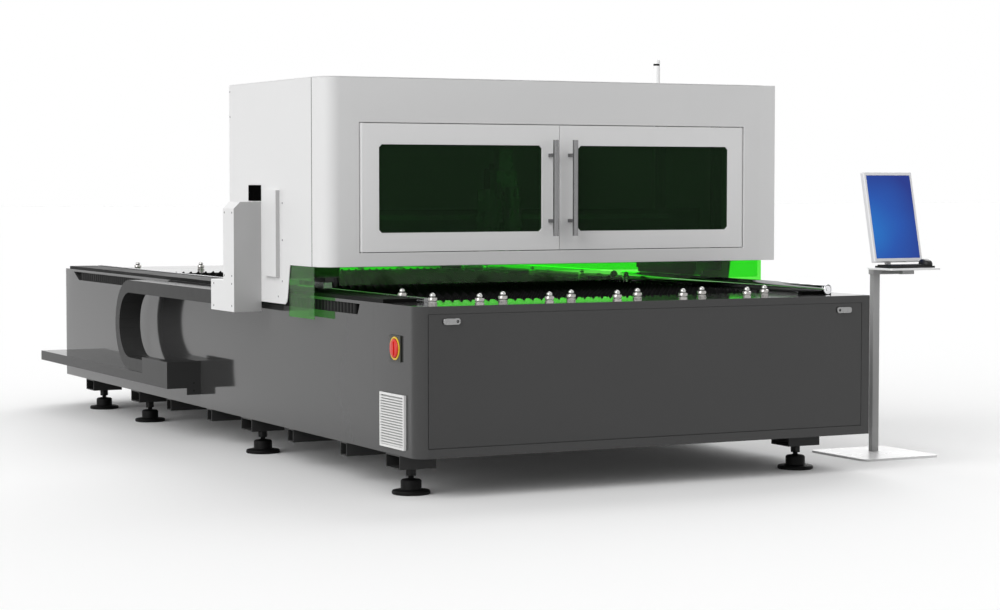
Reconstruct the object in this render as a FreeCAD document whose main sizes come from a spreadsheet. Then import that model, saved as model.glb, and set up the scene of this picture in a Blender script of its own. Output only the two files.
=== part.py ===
import FreeCAD, Part
import math
import os
import Sketcher

# Fiber laser cutting machine: toothed slat bed, travelling cabin on two side rails,
# energy chain on the left side and an operator stand at the front right.
# Millimetres. X runs along the front face, Y to the rear, Z up, floor at 0.

os.makedirs("parts", exist_ok=True)
doc = FreeCAD.newDocument("laser_cutter")
V = FreeCAD.Vector

# ---------------------------------------------------------------- driving dimensions
dims = doc.addObject("Spreadsheet::Sheet", "Dims")
row_count = 0
known = []


def dim(name, value, note):
    global row_count
    row_count += 1
    dims.set("A%d" % row_count, name)
    dims.set("B%d" % row_count, str(value))
    dims.set("C%d" % row_count, note)
    dims.setAlias("B%d" % row_count, name)
    known.append(name)


dim("fit_gap", 0.3, "clearance of seated and running fits")
dim("bed_width", 2300, "bed over both side beams")
dim("bed_length", 5070, "bed, front to rear")
dim("bed_bottom", 175, "underside of the bed over the floor")
dim("bed_top", 815, "deck of the bed over the floor")
dim("bed_corner", 60, "radius of the bed's upright corners")
dim("beam_width", 260, "side beam")
dim("deck_front", 440, "depth of the front deck")
dim("deck_rear", "=bed_length - 1100", "front edge of the rear deck")
dim("slot_low", "=bed_top - 61", "lower edge of the comb recess")
dim("slot_high", "=bed_top - 14", "upper edge of the comb recess")
dim("slot_front", 590, "front end of the comb recess")
dim("slot_rear", "=bed_length - 217", "rear end of the comb recess")
dim("slot_depth", 26, "depth of the comb recess")
dim("comb_pitch", 60, "pitch of the comb's fins")
dim("hatch_left", 54, "left edge of the front hatch")
dim("hatch_right", "=bed_width - 47", "right edge of the front hatch")
dim("hatch_low", 217, "lower edge of the front hatch")
dim("hatch_high", "=bed_top - 35", "upper edge of the front hatch")
dim("hatch_thick", 5, "sheet of the front hatch with its folds")
dim("hatch_seam", 2, "open seam around the front hatch")
dim("latch_radius", 13.8, "round body of a latch in the hatch")
dim("lip_rear", 12, "rear of the lip that the latches catch behind")
dim("tooth_pitch", 44.5, "pitch of the slat teeth")
dim("tooth_tip", "=bed_top + 12", "tip of the slat teeth over the floor")
dim("tooth_depth", 22, "depth of the slat teeth")
dim("slat_low", "=bed_top - 125", "underside of a slat")
dim("slat_thick", 4, "sheet of a slat")
dim("slat_pitch", 320, "distance from slat to slat")
dim("slat_first", 470, "first slat")
dim("strip_width", 160, "black cover strip on the left beam")
dim("strip_top", "=bed_top + 17", "top of the cover strips")
dim("rail_width", 24, "profiled guide rail of the long axis")
dim("rail_top", "=bed_top + 20", "top of the long guide rails")
dim("left_rail_x", "=strip_width + 26", "middle of the left guide rail")
dim("right_rail_x", "=bed_width - 74", "middle of the right guide rail")
dim("block_top", "=rail_top + 27", "top of the rail blocks")
dim("foot_under", "=block_top + 22", "underside of the gantry feet")
dim("beam_face", 1560, "front face of the gantry beam at rest")
dim("beam_rear", "=beam_face + 180", "rear face of the gantry beam at rest")
dim("head_x", "=bed_width / 2", "middle of the cutting head at rest")
dim("cabin_left", -56, "left side of the cabin")
dim("cabin_right", "=bed_width - cabin_left", "right side of the cabin")
dim("cabin_front", 875, "front of the cabin at rest")
dim("cabin_rear", 2050, "rear of the cabin at rest")
dim("cabin_low", 951, "lower edge of the cabin")
dim("cabin_top", 1809, "roof of the cabin")
dim("beam_under", "=cabin_low + 49", "underside of the gantry beam")
dim("beam_over", "=beam_under + 200", "top of the gantry beam")
dim("inlet_low", "=beam_over + 45", "lower edge of the cable inlet")
dim("inlet_high", "=beam_over + 120", "upper edge of the cable inlet")
dim("cabin_corner", 85, "radius of the cabin's front corners")
dim("skin", 4, "sheet of the cabin's covers")
dim("front_wall", 26, "double front wall of the cabin")
dim("cover_seam_y", "=cabin_front + 125", "seam between front cover and side panels")
dim("door_left", 128, "outer edge of the left door")
dim("door_right", "=bed_width - 127", "outer edge of the right door")
dim("door_low", 1017, "lower edge of the doors")
dim("door_high", 1600, "upper edge of the doors")
dim("door_thick", 24, "door leaf")
dim("door_middle", "=bed_width / 2", "seam between the two doors")
dim("door_gap", 3, "gap around the door leaves")
dim("window_low", 1104, "lower edge of the windows")
dim("window_high", 1505, "upper edge of the windows")
dim("bar_offset", 52, "handle bar beside the door seam")
dim("bar_out", 60, "handle bar in front of the doors")
dim("bar_long", 448, "length of a handle bar")
dim("arm_left", "=cabin_left - 139", "outer face of the chain arm")
dim("arm_front", 1627, "front face of the chain arm")
dim("chain_left", -178, "outer side of the energy chain")
dim("chain_right", "=chain_left + 118", "inner side of the energy chain")
dim("chain_thick", 67, "height of a chain link")
dim("chain_low", 329, "underside of the lower run")
dim("chain_inner", 174, "inner bend radius of the chain")
dim("bend_y", 3260, "middle of the chain bend at rest")
dim("chain_fixed_y", 2660, "fixed end of the chain")
dim("chain_moving_y", 1942, "moving end of the chain at rest")
dim("tray_front", "=chain_fixed_y - 20", "front end of the chain tray")
dim("tray_rear", "=bed_length - 138", "rear end of the chain tray")
dim("tray_low", "=chain_low - 55", "underside of the chain tray")
dim("roller_x", "=bed_width - 135", "middle of the side rollers")
dim("roller_radius", 23, "side roller")
dim("roller_z", "=bed_top + 24", "axis of the side rollers")
dim("ball_radius", 13, "ball of a transfer unit")
dim("ball_z", "=bed_top + 37", "middle of the transfer balls")
dim("ball_pitch", "=(bed_width - 625) / 5", "distance between the transfer balls on the front deck")
dim("stub_long", 172, "bracket tube over a levelling foot")
dim("stub_wide", 145, "bracket tube, front to rear")
dim("stub_low", "=bed_bottom - 62", "underside of the bracket tubes")
dim("spindle_radius", 12, "levelling spindle")
dim("stand_x", "=bed_width + 465", "middle of the console post")
dim("stand_y", 600, "middle of the console post, front to rear")
dim("shelf_top", 918, "top of the console shelf")
dim("monitor_lean", 13, "lean of the monitor in degrees")
dim("shift_x", -1399.5, "machine frame to part frame")
dim("shift_y", -2530.5, "machine frame to part frame")
doc.recompute()


def val(name):
    return float(dims.get(name))


def ex(text):
    """Expression with every sheet name put in full."""
    out = ""
    word = ""
    for letter in str(text) + " ":
        if letter.isalnum() or letter == "_":
            word += letter
            continue
        out += "Dims." + word if word in known else word
        word = ""
        out += letter
    return out.strip()


def number(text):
    """Value of an expression in the sheet's names."""
    total = str(text)
    probe = doc.getObject("Probe") or doc.addObject("App::FeaturePython", "Probe")
    if not hasattr(probe, "Value"):
        probe.addProperty("App::PropertyFloat", "Value")
    probe.setExpression("Value", ex(total))
    probe.recompute()
    return float(probe.Value)


# ---------------------------------------------------------------- building blocks
serial = 0


def title(kind):
    global serial
    serial += 1
    return "%s_%03d" % (kind, serial)


def place(obj, x, y, z):
    obj.setExpression("Placement.Base.x", ex(x))
    obj.setExpression("Placement.Base.y", ex(y))
    obj.setExpression("Placement.Base.z", ex(z))


def block(x0, x1, y0, y1, z0, z1):
    box = doc.addObject("Part::Box", title("block"))
    box.setExpression("Length", ex("(%s) - (%s)" % (x1, x0)))
    box.setExpression("Width", ex("(%s) - (%s)" % (y1, y0)))
    box.setExpression("Height", ex("(%s) - (%s)" % (z1, z0)))
    place(box, x0, y0, z0)
    return box


TURN = {
    "X": FreeCAD.Rotation(V(0, 1, 0), 90),
    "Y": FreeCAD.Rotation(V(1, 0, 0), -90),
    "Z": FreeCAD.Rotation(),
}


def rod(axis, x, y, z, length, radius):
    bar = doc.addObject("Part::Cylinder", title("rod"))
    bar.setExpression("Radius", ex(radius))
    bar.setExpression("Height", ex(length))
    bar.Placement = FreeCAD.Placement(V(0, 0, 0), TURN[axis])
    place(bar, x, y, z)
    return bar


def faceted(axis, x, y, z, length, radius, sides=6):
    """Bar with flat sides along an axis: hexagon heads, nuts and small round pieces."""
    bar = doc.addObject("Part::Prism", title("faceted"))
    bar.Polygon = sides
    bar.setExpression("Circumradius", ex(radius))
    bar.setExpression("Height", ex(length))
    bar.Placement = FreeCAD.Placement(V(0, 0, 0), TURN[axis])
    place(bar, x, y, z)
    return bar


def join(parts):
    if len(parts) == 1:
        return parts[0]
    body = doc.addObject("Part::MultiFuse", title("join"))
    body.Shapes = parts
    return body


def cut(base, tools):
    body = doc.addObject("Part::Cut", title("cut"))
    body.Base = base
    body.Tool = join(tools)
    return body


def group(parts):
    body = doc.addObject("Part::Compound", title("group"))
    body.Links = parts
    return body


def edges_where(shape, test):
    return [i + 1 for i, e in enumerate(shape.Edges) if test(e)]


def rounded(base, test, radius, kind="Part::Fillet"):
    doc.recompute()
    body = doc.addObject(kind, title("round"))
    body.Base = base
    size = number(radius)
    body.Edges = [(i, size, size) for i in edges_where(base.Shape, test)]
    return body


def upright(e, x=None, y=None, tol=1.0):
    """True for a straight vertical edge at the given x and y."""
    if len(e.Vertexes) != 2:
        return False
    a, b = e.Vertexes[0].Point, e.Vertexes[1].Point
    if math.hypot(a.x - b.x, a.y - b.y) > 0.01:
        return False
    return (x is None or abs(a.x - x) < tol) and (y is None or abs(a.y - y) < tol)


def along_y(e):
    """True for a straight edge that runs front to rear."""
    if len(e.Vertexes) != 2:
        return False
    a, b = e.Vertexes[0].Point, e.Vertexes[1].Point
    return math.hypot(a.x - b.x, a.z - b.z) < 0.01


PLANES = {
    "XY": FreeCAD.Rotation(),
    "XZ": FreeCAD.Rotation(V(1, 0, 0), 90),
    "YZ": FreeCAD.Rotation(V(1, 1, 1), 120),
}


def draw(sketch, points):
    """Closed outline in a sketch, every corner bound to expressions."""
    flat = [(number(u), number(w)) for u, w in points]
    count = len(flat)
    for i in range(count):
        a, b = flat[i], flat[(i + 1) % count]
        sketch.addGeometry(Part.LineSegment(V(a[0], a[1], 0), V(b[0], b[1], 0)), False)
    for i in range(count):
        sketch.addConstraint(Sketcher.Constraint("Coincident", i, 2, (i + 1) % count, 1))
    for i, (u, w) in enumerate(flat):
        for axis, value, source in (("X", u, points[i][0]), ("Y", w, points[i][1])):
            if abs(value) < 1e-9:
                line = -2 if axis == "X" else -1
                sketch.addConstraint(Sketcher.Constraint("PointOnObject", i, 1, line))
                continue
            index = sketch.addConstraint(
                Sketcher.Constraint("Distance" + axis, -1, 1, i, 1, value)
            )
            if any(word in str(source) for word in known):
                sketch.setExpression("Constraints[%d]" % index, ex(source))


def prism(plane, points, start, end):
    """Outline drawn in a plane and extruded from start to end along the third axis."""
    sketch = doc.addObject("Sketcher::SketchObject", title("outline"))
    sketch.Placement = FreeCAD.Placement(V(0, 0, 0), PLANES[plane])
    draw(sketch, points)
    along = {"XY": "z", "XZ": "y", "YZ": "x"}[plane]
    sketch.setExpression("Placement.Base." + along, ex(start))
    body = doc.addObject("Part::Extrusion", title("prism"))
    body.Base = sketch
    body.DirMode = "Custom"
    body.Dir = {"XY": V(0, 0, 1), "XZ": V(0, 1, 0), "YZ": V(1, 0, 0)}[plane]
    body.setExpression("LengthFwd", ex("(%s) - (%s)" % (end, start)))
    body.Solid = True
    return body


def copies(source, moves):
    """The same piece at several places, as separate solids."""
    doc.recompute()
    body = doc.addObject("Part::Feature", title("copies"))
    shapes = []
    for x, y, z in moves:
        one = source.Shape.copy()
        one.translate(V(x, y, z))
        shapes.append(one)
    body.Shape = Part.Compound(shapes)
    return body


def turned(source, centre, axis, angles):
    """The same piece turned about an axis to several angles, as separate solids."""
    doc.recompute()
    body = doc.addObject("Part::Feature", title("turned"))
    shapes = []
    for angle in angles:
        one = source.Shape.copy()
        one.rotate(centre, axis, angle)
        shapes.append(one)
    body.Shape = Part.Compound(shapes)
    return body


nodes = []


def node(label, source):
    """A named sub-part in the part's own frame."""
    doc.recompute()
    if source.TypeId == "PartDesign::Body":
        body = source
    else:
        body = doc.addObject("Part::Compound", "node_" + label)
        body.Links = [source]
    body.Label = label
    body.setExpression("Placement.Base.x", "Dims.shift_x")
    body.setExpression("Placement.Base.y", "Dims.shift_y")
    nodes.append(body)
    return body


def sketched_body(name, plane, outlines):
    """Part design body with one sketch on one of its own origin planes."""
    body = doc.addObject("PartDesign::Body", name)
    sketch = body.newObject("Sketcher::SketchObject", name + "_outline")
    role = plane + "_Plane"
    base = [f for f in body.Origin.OriginFeatures if f.Role == role][0]
    sketch.AttachmentSupport = [(base, "")]
    sketch.MapMode = "FlatFace"
    draw(sketch, outlines)
    return body, sketch


# ---------------------------------------------------------------- bed
def bed_front_beam():
    shell = block(0, "bed_width", 0, "deck_front", "bed_bottom", "bed_top")
    width = val("bed_width")
    shell = rounded(
        shell,
        lambda e: upright(e, y=0) and (upright(e, x=0) or upright(e, x=width)),
        "bed_corner",
    )
    recess = block(
        "hatch_left - hatch_seam", "hatch_right + hatch_seam", -5, "hatch_thick + fit_gap",
        "hatch_low - hatch_seam", "hatch_high + hatch_seam",
    )
    hollow = block(
        "hatch_left + 20", "hatch_right - 20", -5, "deck_front + 5",
        "hatch_low + 24", "hatch_high - 24",
    )
    behind_lip = block(
        "hatch_left + 20", "hatch_right - 20", "lip_rear", "deck_front + 5",
        "hatch_high - 25", "hatch_high - 4",
    )
    stops = []
    for x in (300, "bed_width / 2", "bed_width - 300"):
        stops.append(block("%s - 30" % x, "%s + 30" % x, "hatch_thick + fit_gap", 30,
                           "hatch_low + 23", "hatch_low + 40"))
    node("bed_front_beam", join([cut(shell, [recess, hollow, behind_lip])] + stops))


def bed_side_beam(label, side):
    left = side < 0
    x0 = "0" if left else "bed_width - beam_width"
    x1 = "beam_width" if left else "bed_width"
    beam = block(x0, x1, "deck_front", "bed_length", "bed_bottom", "bed_top")
    outer = 0 if left else val("bed_width")
    rear = val("bed_length")
    beam = rounded(beam, lambda e: upright(e, x=outer, y=rear), "bed_corner")
    if left:
        recess = prism("YZ", [
            ("slot_front", "slot_high"),
            ("slot_front + 24", "slot_low"),
            ("slot_rear - 100", "slot_low"),
            ("slot_rear", "slot_high"),
        ], -5, "slot_depth")
        beam = cut(beam, [recess])
    node(label, beam)


def comb(label):
    """Ridged guard bar in the long recess of the left beam."""
    start = val("slot_front") + 60
    pitch = val("comb_pitch")
    count = int((val("slot_rear") - 130 - start) // pitch)
    back = val("slot_depth")
    points = [(back, start)]
    for i in range(count):
        points.append((4, start + (i + 0.3) * pitch))
        points.append((back - 8, start + (i + 0.75) * pitch))
    points.append((back, start + count * pitch))
    node(label, prism("XY", points, "slot_low", "slot_high"))


def bed_inside():
    node("bed_rear_deck", block(
        "beam_width", "bed_width - beam_width", "deck_rear", "bed_length",
        "bed_bottom", "bed_top",
    ))
    sheet = 5
    profile = [
        ("beam_width", "slat_low - 60"),
        ("beam_width + 330", 215),
        ("bed_width - beam_width - 330", 215),
        ("bed_width - beam_width", "slat_low - 60"),
        ("bed_width - beam_width", "slat_low - 70"),
        ("bed_width - beam_width - 330 - 3", 215 - sheet),
        ("beam_width + 330 + 3", 215 - sheet),
        ("beam_width", "slat_low - 70"),
    ]
    node("scrap_trough", prism("XZ", profile, "deck_front", "deck_rear"))


def slat_bed():
    count = int((val("deck_rear") - val("slat_first") - 30) // val("slat_pitch")) + 1
    x_low = val("beam_width") + 8
    x_high = val("bed_width") - val("beam_width") - 8
    teeth = int((x_high - x_low) // val("tooth_pitch"))
    margin = (x_high - x_low - teeth * val("tooth_pitch")) / 2

    body = doc.addObject("PartDesign::Body", "slat_pattern")
    sketch = body.newObject("Sketcher::SketchObject", "slat_outline")
    base = [f for f in body.Origin.OriginFeatures if f.Role == "XZ_Plane"][0]
    sketch.AttachmentSupport = [(base, "")]
    sketch.MapMode = "FlatFace"
    tip, valley, low = val("tooth_tip"), val("tooth_tip") - val("tooth_depth"), val("slat_low")
    points = [(x_low, low), (x_low, valley)]
    for i in range(teeth):
        start = x_low + margin + i * val("tooth_pitch")
        points.append((start + 0.5 * val("tooth_pitch"), tip))
        points.append((start + val("tooth_pitch"), valley))
    points.append((x_high, valley))
    points.append((x_high, low))
    for a, b in zip(points, points[1:] + points[:1]):
        sketch.addGeometry(Part.LineSegment(V(a[0], a[1], 0), V(b[0], b[1], 0)), False)
    sketch.addConstraint([
        Sketcher.Constraint("Coincident", i, 2, (i + 1) % len(points), 1)
        for i in range(len(points))
    ])
    pad = body.newObject("PartDesign::Pad", "slat_sheet")
    pad.Profile = sketch
    pad.Midplane = True
    pad.setExpression("Length", "Dims.slat_thick")
    body.Tip = pad
    doc.recompute()
    places = [
        (0, val("slat_first") + i * val("slat_pitch"), 0) for i in range(count)
    ]
    node("slats", copies(body, places))

    notch_wide = val("slat_thick") + 1
    bars = []
    for x0, x1 in (
        ("beam_width", "beam_width + 46"),
        ("bed_width - beam_width - 46", "bed_width - beam_width"),
    ):
        bar = block(x0, x1, "deck_front", "deck_rear", "slat_low - 60", "slat_low + 24")
        first = block(
            str(x0) + " - 1", str(x1) + " + 1",
            "slat_first - %s" % (notch_wide / 2), "slat_first + %s" % (notch_wide / 2),
            "slat_low", "slat_low + 30",
        )
        notches = copies(first, [(0, i * val("slat_pitch"), 0) for i in range(count)])
        bars.append(cut(bar, [notches]))
    node("slat_supports", group(bars))


# ---------------------------------------------------------------- front hatch and latches
LATCHES = {"left": val("hatch_left") + 132, "right": val("hatch_right") - 125}
LATCH_Z = val("hatch_high") - 30


def front_hatch():
    plate = block(
        "hatch_left", "hatch_right", 0, "hatch_thick", "hatch_low", "hatch_high",
    )
    low = val("hatch_low")
    plate = rounded(
        plate,
        lambda e: all(abs(v.Point.z - low) < 0.1 for v in e.Vertexes)
        and abs(e.Vertexes[0].Point.x - e.Vertexes[1].Point.x) > 10,
        "hatch_thick / 2 - 0.01",
    )
    holes = []
    for x in LATCHES.values():
        holes.append(faceted("Y", x, -5, LATCH_Z, 30, "latch_radius + fit_gap + 0.12", 24))
    stiffener = block(
        "hatch_left + 60", "hatch_right - 60", "hatch_thick", "hatch_thick + 18",
        "hatch_low + 60", "hatch_low + 90",
    )
    node("front_hatch", cut(join([plate, stiffener]), holes))


def latch(name, out):
    """Quarter turn latch: round body in the hatch, lever in front, catch bar behind."""
    x = LATCHES[name]
    body = rod("Y", x, -6, LATCH_Z, "6 + hatch_thick", "latch_radius")
    low, high = (x - 66, x + 13) if out < 0 else (x - 13, x + 66)
    lever = block(low, high, -9, -5, LATCH_Z - 13.5, LATCH_Z + 13.5)
    lever = rounded(lever, along_y, "6", "Part::Chamfer")
    stem = faceted("Y", x, "hatch_thick - 1", LATCH_Z, "lip_rear + 2 - hatch_thick", 5)
    near, far = (x - 5, x + 22) if out < 0 else (x - 22, x + 5)
    catch = block(near, far, "lip_rear + fit_gap", "lip_rear + 4.3", LATCH_Z - 5, LATCH_Z + 5)
    node(name + "_latch", join([body, lever, stem, catch]))


# ---------------------------------------------------------------- long axis
def long_axis():
    node("bed_cover_strips", group([
        block(0, "strip_width", 342, "bed_length - 135", "bed_top", "strip_top"),
        block("right_rail_x + 24", "bed_width", 500, "bed_length - 135", "bed_top", "strip_top"),
    ]))
    half = "rail_width / 2"
    rails = []
    blocks = []
    for middle, start in (("left_rail_x", 300), ("right_rail_x", 470)):
        outline = [
            ("%s - %s" % (middle, half), "bed_top"),
            ("%s + %s" % (middle, half), "bed_top"),
            ("%s + %s" % (middle, half), "bed_top + 7"),
            ("%s + %s - 3" % (middle, half), "bed_top + 10"),
            ("%s + %s" % (middle, half), "bed_top + 13"),
            ("%s + %s" % (middle, half), "rail_top"),
            ("%s - %s" % (middle, half), "rail_top"),
            ("%s - %s" % (middle, half), "bed_top + 13"),
            ("%s - %s + 3" % (middle, half), "bed_top + 10"),
            ("%s - %s" % (middle, half), "bed_top + 7"),
        ]
        rails.append(prism("XZ", outline, start, "bed_length - 135"))
        for y in ("beam_face - 170", "beam_rear + 60"):
            body = block("%s - 22" % middle, "%s + 22" % middle, y, y + " + 120",
                         "bed_top + 5", "block_top")
            groove = block(
                "%s - rail_width / 2 - fit_gap" % middle,
                "%s + rail_width / 2 + fit_gap" % middle,
                y + " - 1", y + " + 121", "bed_top", "rail_top + fit_gap",
            )
            blocks.append(cut(body, [groove]))
    node("long_guide_rails", group(rails))
    node("gantry_rail_blocks", group(blocks))


def gantry():
    tube = block("cabin_left + skin + 2", "cabin_right - skin - 2",
                 "beam_face", "beam_rear", "beam_under", "beam_over")
    bore = block("cabin_left", "cabin_right", "beam_face + 12", "beam_rear - 12",
                 "beam_under + 12", "beam_over - 12")
    feet = []
    for x0, x1, middle in (
        ("cabin_left + skin + 2", "left_rail_x + 46", "left_rail_x"),
        ("right_rail_x - 28", "cabin_right - skin - 2", "right_rail_x"),
    ):
        feet.append(block(x0, x1, "beam_face - 210", "beam_rear + 210",
                          "foot_under", "beam_under"))
        feet.append(block("%s - 24" % middle, "%s + 24" % middle,
                          "beam_face - 190", "beam_rear + 200",
                          "block_top", "foot_under"))
    node("gantry_beam", join([cut(tube, [bore])] + feet))
    rails = []
    for z in ("beam_under + 26", "beam_over - 50"):
        rails.append(block(140, "bed_width - 140", "beam_face - 20", "beam_face",
                           z, z + " + 24"))
    node("cross_rails", group(rails))


def head():
    x = "head_x"
    y = "beam_face"
    plate = block(x + " - 120", x + " + 120", y + " - 70", y + " - 55",
                  "beam_under - 10", "beam_over + 100")
    blocks = []
    for z in ("beam_under + 26", "beam_over - 50"):
        for dx in (-110, 40):
            body = block("%s + %d" % (x, dx), "%s + %d" % (x, dx + 70),
                         y + " - 56", y + " - 6", z + " - 12", z + " + 36")
            groove = block("%s + %d" % (x, dx - 1), "%s + %d" % (x, dx + 71),
                           y + " - 20 - fit_gap", y, z + " - fit_gap",
                           z + " + 24 + fit_gap")
            blocks.append(cut(body, [groove]))
    node("head_carriage", join([plate] + blocks))
    motor = join([
        block(x + " - 45", x + " + 45", y + " - 55", y + " + 35", "beam_over + 15",
              "beam_over + 75"),
        block(x + " - 40", x + " + 40", y + " - 50", y + " + 30", "beam_over + 74",
              "beam_over + 200"),
        faceted("Z", x, y + " - 10", "beam_over + 200", 25, 30, 8),
    ])
    node("cross_axis_motor", motor)
    node("lift_housing", join([
        block(x + " - 55", x + " + 55", y + " - 142", y + " - 70", "beam_under + 10",
              "beam_over + 190"),
        block(x + " - 38", x + " + 38", y + " - 135", y + " - 75", "beam_over + 189",
              "beam_over + 300"),
    ]))
    axis = y + " - 210"
    low = "beam_under"
    slide = block(x + " - 45", x + " + 45", y + " - 170", y + " - 142 - fit_gap",
                  low + " + 60", low + " + 330")
    barrel = faceted("Z", x, axis, low + " + 10", 300, 42, 12)
    bridge = block(x + " - 30", x + " + 30", y + " - 180", y + " - 165",
                   low + " + 70", low + " + 320")
    tip = faceted("Z", x, axis, low + " - 28", 38, 30, 8)
    node("cutting_head", join([slide, barrel, bridge, tip]))
    nozzle = faceted("Z", x, axis, low + " - 50", 22, 15, 8)
    end = number(low + " - 50")
    nozzle = rounded(nozzle, lambda e: all(abs(v.Point.z - end) < 0.1 for v in e.Vertexes),
                     "9", "Part::Chamfer")
    node("nozzle", nozzle)


# ---------------------------------------------------------------- cabin
def cabin_front_cover():
    width = "cabin_right"
    outer = block("cabin_left", width, "cabin_front", "cover_seam_y - 1",
                  "cabin_low", "cabin_top - skin")
    front = val("cabin_front")
    outer = rounded(outer, lambda e: upright(e, y=front), "cabin_corner")
    inner = block("cabin_left + skin", "cabin_right - skin", "cabin_front + front_wall",
                  "cover_seam_y + 30", "cabin_low - 5", "cabin_top")
    inner_front = front + val("front_wall")
    inner = rounded(inner, lambda e: upright(e, y=inner_front), "cabin_corner - front_wall")
    opening = block("door_left - door_gap", "door_right + door_gap",
                    "cabin_front - 5", "cabin_front + front_wall + 5",
                    "door_low - door_gap", "door_high + door_gap")
    node("cabin_front_cover", cut(outer, [inner, opening]))


def cabin_skins():
    roof = block("cabin_left", "cabin_right", "cabin_front", "cabin_rear",
                 "cabin_top - skin", "cabin_top")
    front = val("cabin_front")
    node("cabin_roof", rounded(roof, lambda e: upright(e, y=front), "cabin_corner"))
    outline = [
        ("cover_seam_y + 1", "cabin_low"),
        ("cover_seam_y + 266", "cabin_low"),
        ("cover_seam_y + 298", "cabin_low - 152"),
        ("cover_seam_y + 306", "cabin_low - 172"),
        ("cover_seam_y + 326", "cabin_low - 184"),
        ("cabin_rear", "cabin_low - 184"),
        ("cabin_rear", "cabin_top - skin"),
        ("cover_seam_y + 1", "cabin_top - skin"),
    ]
    left = prism("YZ", outline, "cabin_left", "cabin_left + skin")
    inlet = block("cabin_left - 5", "cabin_left + 10", "arm_front - 1", "arm_front + 159",
                  "inlet_low", "inlet_high")
    node("cabin_left_panel", cut(left, [inlet]))
    node("cabin_right_panel", prism("YZ", outline, "cabin_right - skin", "cabin_right"))
    node("cabin_rear_cover", block(
        "cabin_left + skin", "cabin_right - skin", "cabin_rear - skin", "cabin_rear",
        "cabin_low", "cabin_top - skin",
    ))
    node("cable_inlet", block(
        "cabin_left - 3", "cabin_left + skin + 20", "arm_front - 0.7", "arm_front + 158.7",
        "inlet_low + fit_gap", "inlet_high - fit_gap",
    ))


def cabin_frame():
    z0 = "cabin_top - skin - 40"
    z1 = "cabin_top - skin"
    left = "cabin_left + skin"
    right = "cabin_right - skin"
    rear = "cabin_rear - skin"
    bars = [
        block(left, left + " + 40", "cover_seam_y + 1", rear, z0, z1),
        block(right + " - 40", right, "cover_seam_y + 1", rear, z0, z1),
        block(left, right, rear + " - 40", rear, z0, z1),
        block(left, right, "cover_seam_y + 1", "cover_seam_y + 41", z0, z1),
        block(100, 140, "cabin_front + front_wall", "cover_seam_y + 2", z0, z1),
        block("bed_width - 140", "bed_width - 100", "cabin_front + front_wall",
              "cover_seam_y + 2", z0, z1),
    ]
    for y in ("beam_face - 205", "beam_rear + 165"):
        bars.append(block(left + " + 2", left + " + 42", y, y + " + 40",
                          "beam_under", z0 + " + 1"))
        bars.append(block(right + " - 42", right + " - 2", y, y + " + 40",
                          "beam_under", z0 + " + 1"))
    front = "cabin_front + front_wall"
    bars.append(block(60, "bed_width - 60", front + " + 2 + 2 * fit_gap", front + " + 18",
                      "cabin_low + 8", "cabin_low + 30"))
    bars.append(block(left + " + fit_gap", right + " - fit_gap", rear + " - 18",
                      rear + " - 2 - 2 * fit_gap", "cabin_low + 8", "cabin_low + 30"))
    node("cabin_frame", join(bars))
    node("cabin_side_box", block("cabin_left - 20", "cabin_left", 1391, 1553, 892, 1297))
    node("signal_lamp", join([
        faceted("Z", "bed_width - 130", 1700, "cabin_top", 10, 26, 8),
        faceted("Z", "bed_width - 130", 1700, "cabin_top + 10", 152, 18, 12),
    ]))


def curtains():
    front = "cabin_front + front_wall + fit_gap"
    inner = "cabin_left + skin + 1"
    outer = block("cabin_left + skin + 0.5", "cabin_right - skin - 0.5", front,
                  "cover_seam_y + 290", "bed_top - 103", "cabin_low + 30")
    y0 = number(front)
    outer = rounded(outer, lambda e: upright(e, y=y0), "cabin_corner - front_wall - fit_gap")
    core = block("cabin_left + skin + 2.5", "cabin_right - skin - 2.5",
                 front + " + 2", "cover_seam_y + 400", "bed_top - 115", "cabin_low + 40")
    y1 = y0 + 2
    core = rounded(core, lambda e: upright(e, y=y1), "cabin_corner - front_wall - 3")
    clear_frame = block("cabin_left", "cabin_right", "cover_seam_y", "cover_seam_y + 400",
                        "cabin_low + 25", "cabin_low + 49")
    whole = cut(outer, [core, clear_frame])
    deep = ("cabin_front", "cover_seam_y + 400", "bed_top - 115")
    over_bed = block(-14, "bed_width + 14", *deep, "bed_top + 54")
    left_end = block("cabin_left - 5", -14, *deep, "cabin_low + 49")
    right_end = block("bed_width + 14", "cabin_right + 5", *deep, "cabin_low + 49")
    node("front_curtain", cut(whole, [over_bed, left_end, right_end]))
    middle = block("-14 - fit_gap", "bed_width + 14 + fit_gap", *deep, "cabin_low + 49")
    node("side_curtains", cut(whole, [middle]))
    node("rear_curtain", block(
        "cabin_left + skin + 1", "cabin_right - skin - 1",
        "cabin_rear - skin - fit_gap - 2", "cabin_rear - skin - fit_gap", "bed_top + 54",
        "cabin_low + 30",
    ))


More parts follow.
